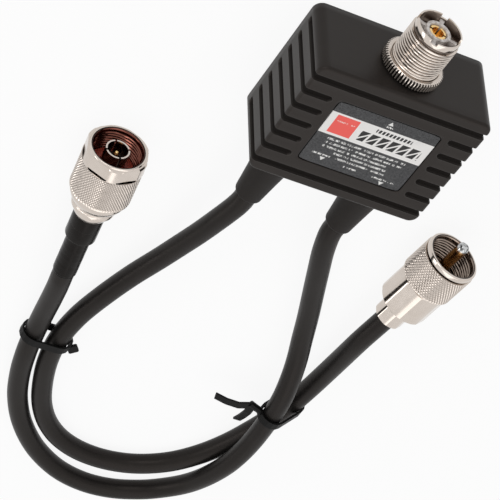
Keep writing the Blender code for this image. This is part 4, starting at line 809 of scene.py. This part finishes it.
# %% [markdown]
# ## The label
#
# The label is a thin printed plate in a recess. Its print is made of plain shapes: a white band, a
# red field, three arrow heads, and rows of fine marks. Each shape is a mask, a sum that is 1 inside
# the shape and 0 outside, and the masks choose between the inks.

# %% Label plate and print
LABEL_TOP = DEPTH - 0.15
LABEL_EASE = 0.06
ink = Finish("label_print", Specular_IOR_Level=0.25)
lx, ly = ink.axis(0), ink.axis(1)


def label_plate():
    """A thin plate with a rounded outline and a slightly eased upper edge."""
    turn = np.linspace(0.0, 2 * np.pi, 96, endpoint=False)
    wide = np.column_stack([np.cos(turn), np.sin(turn)]) * 60.0
    square = np.clip(wide, -LABEL_HALF, LABEL_HALF) * 1.2
    outline = rounded_loop(square, LABEL_HALF, LABEL_CORNER)
    eased = rounded_loop(square, LABEL_HALF - LABEL_EASE, LABEL_CORNER)
    bottom = LABEL_TOP - 0.35
    loops = [(outline, bottom), (outline, LABEL_TOP - 0.05), (eased, LABEL_TOP)]
    return [loft(loops, (0, 0, LABEL_TOP)), loft([(outline, bottom)], (0, 0, bottom))]


def block(x0, x1, y0, y1):
    """1 inside a rectangle on the label."""
    return (lx > x0) * (lx < x1) * (ly > y0) * (ly < y1)


def arrow(x, y, up):
    """1 inside a small triangle: the half width shrinks towards its point."""
    rise = (ly - y) * up
    return (abs(lx - x) < (1.5 - rise) * 0.6) * (rise > 0.0) * (rise < 1.5)


def fine_row(x0, x1, y, tall, seed):
    """A row of short marks of uneven length, as dense as small print."""
    number = (lx * 2.6 + seed * 7.3).floor() + seed * 31.0
    chance = ink.node("ShaderNodeTexWhiteNoise", {"noise_dimensions": "1D"}, {"W": number})
    inner = ink.noise(0.33, detail=0.0).rise(0.42, 0.5)
    return block(x0, x1, y, y + tall) * (chance > 0.2) * inner


def fraction(signal):
    """How far a signal is past its last whole number."""
    return signal - signal.floor()


slant = lx - ly * 0.18
small = block(-1.6, 10.6, 6.5, 7.9) * (fraction(slant * 0.82) > 0.34)
in_bold = fraction(slant * 0.29)
split = abs((ly - 1.2) * 0.24 - in_bold + 0.16) > 0.11
bold = block(-5.4, 15.4, 1.2, 5.4) * (in_bold > 0.2) * split
pale_rows = [
    (-13.2, 13.4, -2.2, 0.8, 3.0), (-13.2, 13.4, -3.9, 0.8, 4.0), (-13.2, 8.6, -5.6, 0.8, 5.0),
    (-8.4, 9.4, -7.3, 0.8, 6.0), (-14.6, -8.6, -9.2, 0.7, 7.0), (-6.8, 9.8, -9.0, 0.8, 8.0),
    (-3.0, 1.4, -11.0, 0.7, 9.0), (6.2, 14.6, -11.0, 0.7, 10.0), (-0.2, 2.4, 9.6, 0.8, 8.0),
]
pale = arrow(1.0, 10.8, 1) + arrow(-10.6, -9.7, -1) + arrow(10.7, -11.5, -1)
for pale_row in pale_rows:
    pale = pale.larger(fine_row(*pale_row))
inks = [
    (block(-20.0, 20.0, -0.4, 8.9), (0.85, 0.83, 0.81)),
    (block(-15.1, -7.5, 0.55, 8.2), (0.88, 0.125, 0.105)),
    (fine_row(-14.2, -8.3, 5.5, 0.55, 9.0), (0.90, 0.62, 0.58)),
    (small.larger(bold), (0.02, 0.019, 0.019)),
    (pale, (0.80, 0.79, 0.77)),
]
speckle = ink.noise(0.35)
print_colour = ink.colours(speckle.rise(0.3, 0.7), (0.022, 0.022, 0.023), (0.075, 0.075, 0.078))
for mask, colour in inks:
    print_colour = ink.colours(mask, print_colour, colour)
ink.feed("Base Color", print_colour)
ink.feed("Roughness", 0.34 + speckle * 0.16)
ink.bump(speckle, 0.02, 0.4)
label = make_piece("printed_label", "front_label", label_plate(), ink)

# %% [markdown]
# ## The antenna socket
#
# The socket is a brass barrel with a fine thread of 24 turns to the inch, 15.9 mm across. A smooth
# rim in front of the thread has four notches, which the teeth of a plug sit in. The thread is a
# ridge whose height follows the angle as well as the depth, so it climbs one pitch in each turn.

# %% Socket barrel and ring nut
BARREL = 7.9375
BARREL_END = 17.6
BARREL_BORE = 6.9
THREAD_PITCH = 25.4 / 24
THREAD_DEPTH = 0.62
NOTCH_TURN = math.radians(20.0)
NOTCH_FLOOR = BARREL_END - 1.1


def helical(radius, height, angle, start, end, rows, depth):
    """Cut a thread into some rows between two heights, fading in at each end."""
    fade = unit((height - start) / THREAD_PITCH) * unit((end - height) / THREAD_PITCH)
    ridge = np.minimum(1.0, 1.35 * saw(height / THREAD_PITCH - angle / (2 * np.pi)))
    return np.where(rows, radius + depth * fade * (ridge - 1.0), radius)


def barrel_shape():
    """Bore, notched rim, groove and thread, as one turned skin."""
    rim = [(BARREL_BORE, -4.9), (BARREL_BORE, BARREL_END), (7.5, BARREL_END), (7.5, 15.5)]
    rim = soften([*rim, (7.15, 15.4), (7.15, 14.7), (BARREL, 14.6)], 0.14, closed=False)
    tail = [(BARREL, 0.2), (BARREL, -2.8), (BARREL, -4.9)]
    profile = np.concatenate([rim, straight(BARREL, 14.5, 0.4, 170), tail])
    outside = np.arange(len(profile))[:, None] >= len(rim)
    wide = math.asin(1.1 / 7.2)
    middles = -quarters(NOTCH_TURN)

    def bend(radius, height, angle):
        notch = (quarter_offset(angle, middles) < wide - 0.002) & (height > NOTCH_FLOOR)
        height = np.where(notch, NOTCH_FLOOR, height)
        return helical(radius, height, angle, 3.4, 14.5, outside, THREAD_DEPTH), height

    return lathe(profile, bend=bend, angles=with_edges(128, middles, wide))


def ring_nut():
    """A flat ring with straight teeth: 60 ridges, cut back to a cone at the front and behind."""
    low, high, outer, bore = 0.3, 3.5, 9.85, 8.05
    heights = (high, high - 0.1, high - 0.35, high - 0.6, 2.2, 1.2, low + 0.5, low + 0.25, low)
    outside = [(outer, height) for height in heights]
    profile = [(bore, low), (bore, high - 0.2), (bore + 0.2, high), *outside]

    def bend(radius, height, angle):
        teeth = saw(angle * 60 / (2 * np.pi))
        toothed = outer - 0.7 * (1.0 - unit(teeth * 2.2 - 0.5))
        front = outer - 0.75 + (high - height) * 1.2
        behind = outer - 0.35 + (height - low) * 1.2
        edge = np.minimum(np.minimum(toothed, front), behind)
        return np.where(radius > outer - 0.01, edge, radius), height

    return lathe(profile, columns=480, bend=bend)


# Painted shade in the roots of the socket's thread and in the groove behind its rim.
thread_root_shade = (0.5, 14.4, 7.42, 7.82, (0.14, 0.12, 0.11))
neck_groove_shade = (14.5, 15.5, 7.2, 7.4, (0.17, 0.145, 0.13))
socket_plating = plated("socket_plating", SOCKET_PLACE, [thread_root_shade, neck_groove_shade], 7.0)
seated = [seat(barrel_shape(), *SOCKET_PLACE)]
make_piece("socket_barrel", "antenna_socket_body", seated, socket_plating, sharp=32.0)

# Painted shade in the gaps between the ring nut's teeth.
ring_plating = plated("ring_plating", SOCKET_PLACE, [(0.0, 3.15, 9.4, 9.75, ROOT_SHADE)])
ring_plating.feed("Metallic", 0.8)
seated = [seat(ring_nut(), *SOCKET_PLACE)]
make_piece("socket_ring_nut", "antenna_socket_ring", seated, ring_plating, sharp=28.0)

# %% [markdown]
# Inside the barrel sits a frosted plastic core: a hub, with four ribs out to the barrel and a
# pocket between each two. It is turned too, and where the angle is a rib's, its floor is raised.
# The contact is a gold tube slit crosswise, so that it can spring open for a plug's pin.

# %% Socket core and contact
CORE_TOP = BARREL_END - 1.0
RIB_TOP = CORE_TOP - 0.5
POCKET = BARREL_END - 4.6


def core_shape():
    """Hub, floor and outside as one turned skin; at a rib's angle the floor is the rib's top."""
    middles = -quarters(NOTCH_TURN)
    half = math.radians(6.6)
    hub = soften([(3.1, -5.0), (3.1, CORE_TOP), (4.2, CORE_TOP), (4.2, POCKET)], 0.15, closed=False)
    floor = [(4.21, POCKET), (5.0, POCKET), (5.8, POCKET), (6.6, POCKET)]
    outside = [(6.6, POCKET - 0.1), (6.6, -2.7), (5.2, -2.8), (5.2, -5.0)]
    profile = np.concatenate([hub, floor, outside])
    row = np.arange(len(profile))[:, None]
    on_floor = (row >= len(hub)) & (row < len(hub) + len(floor))

    def bend(radius, height, angle):
        raised = on_floor & (quarter_offset(angle, middles) < half)
        return radius, np.where(raised, RIB_TOP, height)

    return lathe(profile, bend=bend, angles=with_edges(72, middles, half))


def contact_shape():
    """A tube with a floor in it, slit crosswise down to the floor, and a solder pin behind."""
    middles = quarters(-NOTCH_TURN)
    half = math.asin(0.28 / 2.4)
    tube_top = [(0.0, 13.4), (1.95, 13.4), (1.95, 16.2), (2.8, 16.2), (2.8, -5.1)]
    solder_pin = [(1.2, -5.1), (1.2, -9.3), (0.0, -9.3)]
    profile = np.concatenate([soften(tube_top, 0.14, closed=False), solder_pin])

    def bend(radius, height, angle):
        cut = (quarter_offset(angle, middles) < half) & (radius > 1.5)
        return radius, np.where(cut, np.minimum(height, 13.3), height)

    return lathe(profile, bend=bend, closed=False, angles=with_edges(64, middles, half))


seated = [seat(core_shape(), *SOCKET_PLACE)]
make_piece("socket_core", "antenna_socket_insulator", seated, frosted)
seated = [seat(contact_shape(), *SOCKET_PLACE)]
make_piece("socket_contact", "antenna_socket_contact", seated, gold)

# %% [markdown]
# ## Knurled nuts
#
# Both plugs are gripped by a diamond knurl: two sets of slanting cuts, one climbing to the left and
# one to the right, leave a field of small pyramids. The depth at any place is the deeper of the two
# cuts. The N nut also has a hexagon in front, where the radius is the smaller of a circle's and of
# six flats'.

# %% Knurl and flats
def knurl(height, angle, count, pitch, depth, low, high):
    """How deep two crossed sets of slanting cuts go: the deeper of the two counts.

    `low` and `high` are each the height of an end and how far the cuts fade in from it.
    """
    first = saw(angle * count / (2 * np.pi) + height / pitch)
    second = saw(angle * count / (2 * np.pi) - height / pitch)
    fade = unit((height - low[0]) / low[1]) * unit((high[0] - height) / high[1])
    return depth * (1.0 - np.minimum(first, second)) * fade


def with_flats(radius, angle, flat_radius, count, turn):
    """Cut `count` flats: a flat's distance from the axis grows as 1 / cosine off its middle."""
    step = 2 * np.pi / count
    off = (angle - turn) % step - step / 2
    return np.minimum(radius, flat_radius / np.cos(off))


def stacked(**stretches):
    """Join the named stretches of a profile, and tell which rows belong to each."""
    profile = np.concatenate(list(stretches.values()))
    names = np.repeat(list(stretches), [len(stretch) for stretch in stretches.values()])
    return profile, {name: (names == name)[:, None] for name in stretches}


N_GRIP = 10.3
N_CORNER = math.radians(-34.0)
BORE_THREAD = -0.5


def n_nut():
    """The N plug's coupling nut, rim at 0 and its back at -23.2."""
    back = [(10.25, -19.3), (9.6, -19.8), (9.5, -21.3), (8.7, -23.2), (6.6, -23.2)]
    lip = [(7.95, -0.8), (8.35, -0.1), (9.05, 0.0), (9.3, -0.5)]
    profile, on = stacked(
        inside=[(6.6, -23.2), (6.6, -21.4), (8.3, -21.4), (8.3, -11.4)],
        bore=straight(7.95, -11.0, -0.9, 66),
        lip=soften(lip, 0.12, closed=False),
        hexagon=straight(N_GRIP, -0.55, -5.0, 12),
        hex_end=[(N_GRIP, -5.05)],
        undercut=[(N_GRIP, -5.11), (N_GRIP, -5.55)],
        shoulder=[(N_GRIP, -5.61)],
        band=straight(N_GRIP, -5.75, -19.2, 84),
        back=soften(back, 0.2, closed=False)[:-1],
    )

    def bend(radius, height, angle):
        radius = helical(radius, height, angle, -11.0, -1.0, on["bore"], BORE_THREAD)
        flats = with_flats(10.86, angle, 9.7, 6, N_CORNER)
        cone = np.minimum(N_GRIP, 9.25 - height * 1.1)
        radius = np.where(on["hexagon"], np.minimum(cone, flats), radius)
        radius = np.where(on["hex_end"], np.minimum(N_GRIP, flats), radius)
        cut_back = flats - 0.75 * unit((10.45 - flats) / 0.3)
        radius = np.where(on["undercut"], np.minimum(N_GRIP, cut_back), radius)
        cuts = knurl(height, angle, 72, 1.35, 0.30, (-19.2, 0.7), (-5.75, 0.4))
        return np.where(on["band"], radius - 0.05 - cuts, radius), height

    return lathe(profile, columns=432, bend=bend)


def uhf_shell():
    """The UHF plug's coupling shell, rim at 0 and its back at -14.3."""
    lip = [(8.0, -0.6), (8.3, 0.0), (9.2, 0.0), (9.5, -0.25), (9.5, -1.75)]
    back = [(9.8, -14.0), (9.5, -14.3), (7.3, -14.3)]
    profile, on = stacked(
        inside=[(7.3, -14.3), (7.3, -12.5), (8.4, -12.5), (8.4, -9.8)],
        bore=straight(8.0, -9.5, -0.7, 66),
        lip=soften([*lip, (8.95, -1.9), (8.95, -2.25)], 0.1, closed=False),
        band=straight(9.9, -2.35, -13.9, 66),
        back=soften(back, 0.12, closed=False)[:-1],
    )

    def bend(radius, height, angle):
        radius = helical(radius, height, angle, -9.5, -0.8, on["bore"], BORE_THREAD)
        cuts = knurl(height, angle, 60, 1.6, 0.33, (-14.0, 0.4), (-2.2, 0.4))
        return np.where(on["band"], radius - cuts, radius), height

    return lathe(profile, columns=480, bend=bend)


# Painted shade in the knurls' roots, behind the N nut's hexagon and behind the UHF shell's lip, and
# inside both bores.
n_root_shades = [(-19.2, -5.8, 9.95, 10.2, (0.34, 0.30, 0.27)), (-5.62, -5.08, 9.9, 10.25, ROOT_SHADE)]
n_plating = plated("n_nut_plating", N_PLACE, n_root_shades, 8.75, (0.17, 0.062, 0.045), -21.5)
seated = [seat(n_nut(), *N_PLACE)]
nut = make_piece("n_knurled_nut", "n_plug_nut", seated, n_plating, N_NUT, 40.0)

uhf_root_shades = [(-13.9, -2.4, 9.55, 9.8, (0.27, 0.235, 0.21)), (-2.32, -1.8, 9.0, 9.4, ROOT_SHADE)]
uhf_plating = plated("uhf_shell_plating", UHF_PLACE, uhf_root_shades, 8.75, (0.30, 0.24, 0.20), -12.6)
seated = [seat(uhf_shell(), *UHF_PLACE)]
shell = make_piece("uhf_knurled_shell", "uhf_plug_shell", seated, uhf_plating, UHF_SHELL, 40.0)

# %% [markdown]
# ## What the nuts turn on
#
# Behind and inside each nut are plainer parts, turned as well: the plugs' bodies, the N plug's slit
# sleeve with its red gasket, the insulators and the pins. The UHF plug's body is cut from an
# eight-sided bar whose corners have been turned down, so its radius is the smaller of a circle's
# and of eight flats'.

# %% Plug bodies
UHF_CORNER = math.radians(-25.0)


def turned(name, node, place, finish, profile, reach=0.08, columns=96, bend=None, angles=None):
    """Ease a profile's corners, turn it and lay it in place."""
    closed = profile[0][0] > 0.0
    shape = lathe(soften(profile, reach, closed), columns, bend, closed, angles)
    return make_piece(name, node, [seat(shape, *place)], finish)


def eight_sided(flat, corner, front, back):
    """Cut eight flats below a turned corner radius, and chamfer both ends of the bar."""

    def bend(radius, height, angle):
        ends = corner - 0.35 + 1.2 * np.minimum(front - height, height - back)
        cut = np.minimum(with_flats(corner, angle, flat, 8, UHF_CORNER), ends)
        outside = (radius > flat) & (height <= front) & (height >= back)
        return np.where(outside, cut, radius), height

    return bend


N_BODY = [
    (0.0, -12.3), (4.25, -12.3), (4.25, -9.8), (7.5, -9.8), (7.5, -21.1), (6.3, -21.1),
    (6.3, -23.5), (7.4, -23.5), (7.4, -25.0), (7.15, -25.15), (7.15, -25.4), (7.4, -25.55),
    (7.4, -27.1), (6.5, -27.7), (6.35, -28.6), (5.6, -30.4), (0.0, -30.4),
]
UHF_BODY = [
    (0.0, -11.5), (5.9, -11.5), (5.9, -9.0), (7.0, -9.0), (7.0, -9.9), (7.9, -9.9), (7.9, -12.2),
    (7.0, -12.2), (7.0, -14.6), (9.1, -14.6), (9.1, -14.9), (9.1, -15.2), (9.1, -26.8),
    (9.1, -27.1), (9.1, -27.4), (0.0, -27.4),
]
REDUCER = [
    (0.0, -27.7), (5.35, -27.7), (5.35, -28.0), (5.35, -35.3), (5.35, -35.6), (5.35, -35.9),
    (0.0, -35.9),
]
n_body = turned("n_turned_body", "n_plug_body", N_PLACE, nickel, N_BODY, 0.12)
bar = (0.03, 192, eight_sided(8.82, 9.1, -14.6, -27.4))
uhf_body = turned("uhf_eight_sided_body", "uhf_plug_body", UHF_PLACE, nickel, UHF_BODY, *bar)
thin_bar = (0.03, 192, eight_sided(5.17, 5.35, -27.7, -35.9))
reducer = turned("uhf_reducer", "uhf_plug_reducer", UHF_PLACE, nickel, REDUCER, *thin_bar)

# %% Contacts, insulators and gasket
SLIT_MIDDLES = quarters(math.radians(12.0))
SLIT_HALF = math.asin(0.24 / 3.65)
SLIT_FLOOR = -6.2


def slit_bend(radius, height, angle):
    """Within a slit's angle the sleeve only reaches up to the slit's floor."""
    cut = quarter_offset(angle, SLIT_MIDDLES) < SLIT_HALF
    return radius, np.where(cut, np.minimum(height, SLIT_FLOOR), height)


# The slit sleeve sits inside the N nut: all of it but its top edge is painted darker, as shade.
sleeve_shade_nickel = plated("sleeve_shade_nickel", N_PLACE, [(-13.0, -1.0, 20.0, 21.0, (0.20, 0.14, 0.12))])
SLEEVE = [(3.35, -12.0), (3.35, -0.7), (3.95, -0.7), (3.95, -12.0)]
slits = {"reach": 0.14, "bend": slit_bend, "angles": with_edges(72, SLIT_MIDDLES, SLIT_HALF)}
outer = ("n_slit_sleeve", "n_plug_outer_contact", N_PLACE, sleeve_shade_nickel, SLEEVE)
slit_sleeve = turned(*outer, **slits)
SEAL = [(4.25, -8.0), (7.3, -8.0), (7.3, -9.5), (4.25, -9.5)]
seal = turned("n_red_gasket", "n_plug_gasket", N_PLACE, gasket, SEAL, 0.35)
N_CORE = [(1.12, -6.6), (3.05, -6.6), (3.05, -12.0), (1.12, -12.0)]
n_core = turned("n_core", "n_plug_insulator", N_PLACE, phenolic, N_CORE)
N_PIN = [(0.0, -1.8), (0.45, -1.9), (0.82, -2.7), (0.82, -12.0), (0.0, -12.0)]
n_pin = turned("n_gold_pin", "n_plug_pin", N_PLACE, gold, N_PIN, 0.12, 48)
UHF_CORE = [(2.3, -9.0), (5.6, -9.0), (5.6, -11.2), (2.3, -11.2)]
uhf_core = turned("uhf_core", "uhf_plug_insulator", UHF_PLACE, phenolic, UHF_CORE)

tinned = Finish("tinned_pin", Metallic=1.0)
# The shank is gold, its own colour, with dark lengthwise streaks of painted reflection; the silver
# tip has dark blotches, and the same noise wobbles the tip's edge and its roughness.
blotches = tinned.noise(1.3, detail=3.0)
rim_y = UHF_PLACE[0][1]
tip = (tinned.axis(1) + blotches * 1.2).rise(rim_y + 4.3, rim_y + 5.3)
reflection_streaks = tinned.noise(1.4, detail=3.0, stretch=(1.0, 0.2, 1.0)).rise(0.35, 0.62)
shank = tinned.colours(reflection_streaks, (0.13, 0.055, 0.022), (0.66, 0.37, 0.13))
silver = tinned.colours(blotches.rise(0.42, 0.60), (0.56, 0.57, 0.57), (0.12, 0.12, 0.12))
tinned.feed("Base Color", tinned.colours(tip, shank, silver))
tinned.feed("Roughness", 0.12 + blotches * 0.16)
UHF_PIN = [(0.0, 6.4), (1.0, 6.3), (1.7, 5.85), (2.0, 5.0), (2.0, -11.2), (0.0, -11.2)]
uhf_pin = turned("uhf_tinned_pin", "uhf_plug_pin", UHF_PLACE, tinned, UHF_PIN, 0.3, 64)

# %% [markdown]
# ## Sleeves on the N plug's cable
#
# Behind the N plug's body a black tube covers the crimp, and a thin heat-shrink tube grips the
# cable. Shrunk tube is never quite even, so its radius wavers a little along its length.

# %% Crimp sleeve and heat-shrink
CRIMP = [
    (0.0, -30.7), (5.0, -30.7), (5.2, -31.0), (5.2, -36.0), (5.17, -36.1), (5.2, -36.2),
    (5.2, -41.8), (4.7, -42.3), (0.0, -42.3),
]
crimp = turned("n_crimp_sleeve", "n_plug_sleeve", N_PLACE, shrink_tube, CRIMP, 0.2)


def shrink_profile():
    """Radius 4.05, wavering by a few hundredths, from the sleeve to its thin end on the cable."""
    down = np.linspace(-42.9, -59.7, 40)
    waver = 4.04 + 0.012 * np.sin(down * 1.3) + 0.008 * np.sin(down * 2.9)
    wavy = np.column_stack([waver, down])
    return [(0.0, -42.6), (4.0, -42.6), *wavy, (3.85, -60.05), (0.0, -60.1)]


shrink = turned("n_heat_shrink", "n_plug_heat_shrink", N_PLACE, shrink_tube, shrink_profile(), 0.1)

# %% [markdown]
# ## Boots
#
# Each lead leaves the box through a tapered strain relief. It is moulded in a soft rubber that
# swells slightly where it meets the box, and ends in a small round lip over the cable.

# %% Strain reliefs
def boot_shape():
    """A taper from 7.2 to 4.7 mm, a little hollow in the middle, with a round lip at its end."""
    lip_start = BOOT_LENGTH - 1.0
    out = np.linspace(0.5, lip_start, 28)
    share = out / out[-1]
    taper = np.column_stack([7.2 - 2.48 * share - 0.12 * np.sin(np.pi * share), out])
    lip = np.linspace(0.0, np.pi / 2, 7)
    lip = np.column_stack([3.86 + 0.86 * np.cos(lip), lip_start + np.sin(lip)])
    profile = [(0.0, 0.3), (6.9, 0.3), (7.15, 0.38), *taper, *lip, (0.0, BOOT_LENGTH)]
    return lathe(profile, columns=72, closed=False)


for name, side in (("low", -1), ("high", 1)):
    seated = [seat(boot_shape(), boot_point(side, 0.0), math.pi)]
    make_piece(name + "_strain_relief", name + "_boot", seated, rubber)

# %% [markdown]


# %% [markdown]
# ## Floor and light
#
# The photograph has a white ground and broad soft light. The floor is white by its own colour, and
# shows a faint shadow. Polished metal needs something dark to reflect, or it looks like plaster;
# here the world and nearly all the floor are plain white in reflections, so the dark lines in the
# metal are painted shade. For the surfaces the world is bright overhead and darker towards the
# horizon, and three soft lamps draw the highlights.

# %% Stage
def seen_directly(nodes):
    """1 for rays from the camera and for rays that metal or glass has passed on, 0 for the rest."""
    kinds = ("Is Camera Ray", "Is Glossy Ray", "Is Transmission Ray")
    rays = [nodes.node("ShaderNodeLightPath", output=kind) for kind in kinds]
    return rays[0].larger(rays[1]).larger(rays[2])


def world_light():
    """Soft light from above for the surfaces, and plain white behind everything looked at."""
    world = bpy.data.worlds.new("studio")
    nodes = Nodes(world)
    direction = nodes.node("ShaderNodeTexCoord", output="Generated")
    height = nodes.node("ShaderNodeSeparateXYZ", inputs={0: direction}, output=2)
    ramp = nodes.node("ShaderNodeValToRGB", inputs={0: height})
    stops = ramp.socket.node.color_ramp.elements
    for number, up, grey in ((0, 0.0, 0.17), (1, 0.8, 0.52)):
        stops[number].position = up
        stops[number].color = (grey, grey, grey, 1.0)
    soft = nodes.tree.nodes["Background"]
    nodes.join(ramp, soft.inputs["Color"])
    plain = nodes.node("ShaderNodeBackground", inputs={"Color": (1.0, 1.0, 1.0, 1.0)})
    shares = {0: seen_directly(nodes), 1: Signal(nodes, soft.outputs[0]), 2: plain}
    both = nodes.node("ShaderNodeMixShader", inputs=shares)
    nodes.join(both, nodes.tree.nodes["World Output"].inputs["Surface"])
    bpy.context.scene.world = world


def pale_floor():
    """A large white sheet: most of what is seen of it is plain white, the rest takes shadow."""
    mesh = bpy.data.meshes.new("floor")
    size = 3.0
    corners = [(-size, -size, 0), (size, -size, 0), (size, size, 0), (-size, size, 0)]
    mesh.from_pydata(corners, [], [(0, 1, 2, 3)])
    floor = bpy.data.objects.new("floor", mesh)
    bpy.context.scene.collection.objects.link(floor)
    floor.location.z = -0.0001
    white = Finish("floor_white", Base_Color=(0.88, 0.88, 0.88, 1.0), Roughness=0.9)
    glow = white.node("ShaderNodeEmission")
    shares = {0: seen_directly(white) * 0.9, 1: Signal(white, white.shader.outputs[0]), 2: glow}
    both = white.node("ShaderNodeMixShader", inputs=shares)
    white.join(both, white.tree.nodes["Material Output"].inputs["Surface"])
    mesh.materials.append(white.material)


def soft_lamp(name, place, aim, width, height, power):
    """A rectangular soft box that points at a place."""
    data = bpy.data.lights.new(name, "AREA")
    data.shape = "RECTANGLE"
    data.size = width
    data.size_y = height
    data.energy = power
    back = np.subtract(place, aim)
    back /= np.linalg.norm(back)
    side = np.cross((0.0, 0.0, 1.0), back)
    side /= np.linalg.norm(side)
    stand(name, data, side, np.cross(back, side), back, place)


world_light()
pale_floor()
soft_lamp("overhead", (0.1, -0.15, 0.9), (0.0, -0.08, 0.0), 1.3, 1.0, 3.6)
soft_lamp("socket_side", (-0.5, 0.7, 0.35), (0.0, -0.05, 0.01), 0.6, 0.3, 1.7)
soft_lamp("low_side", (-0.75, -0.3, 0.25), (0.0, -0.08, 0.01), 0.5, 0.2, 1.0)
bpy.context.scene.view_settings.view_transform = "Standard"
print("lamps:", len(bpy.data.lights))
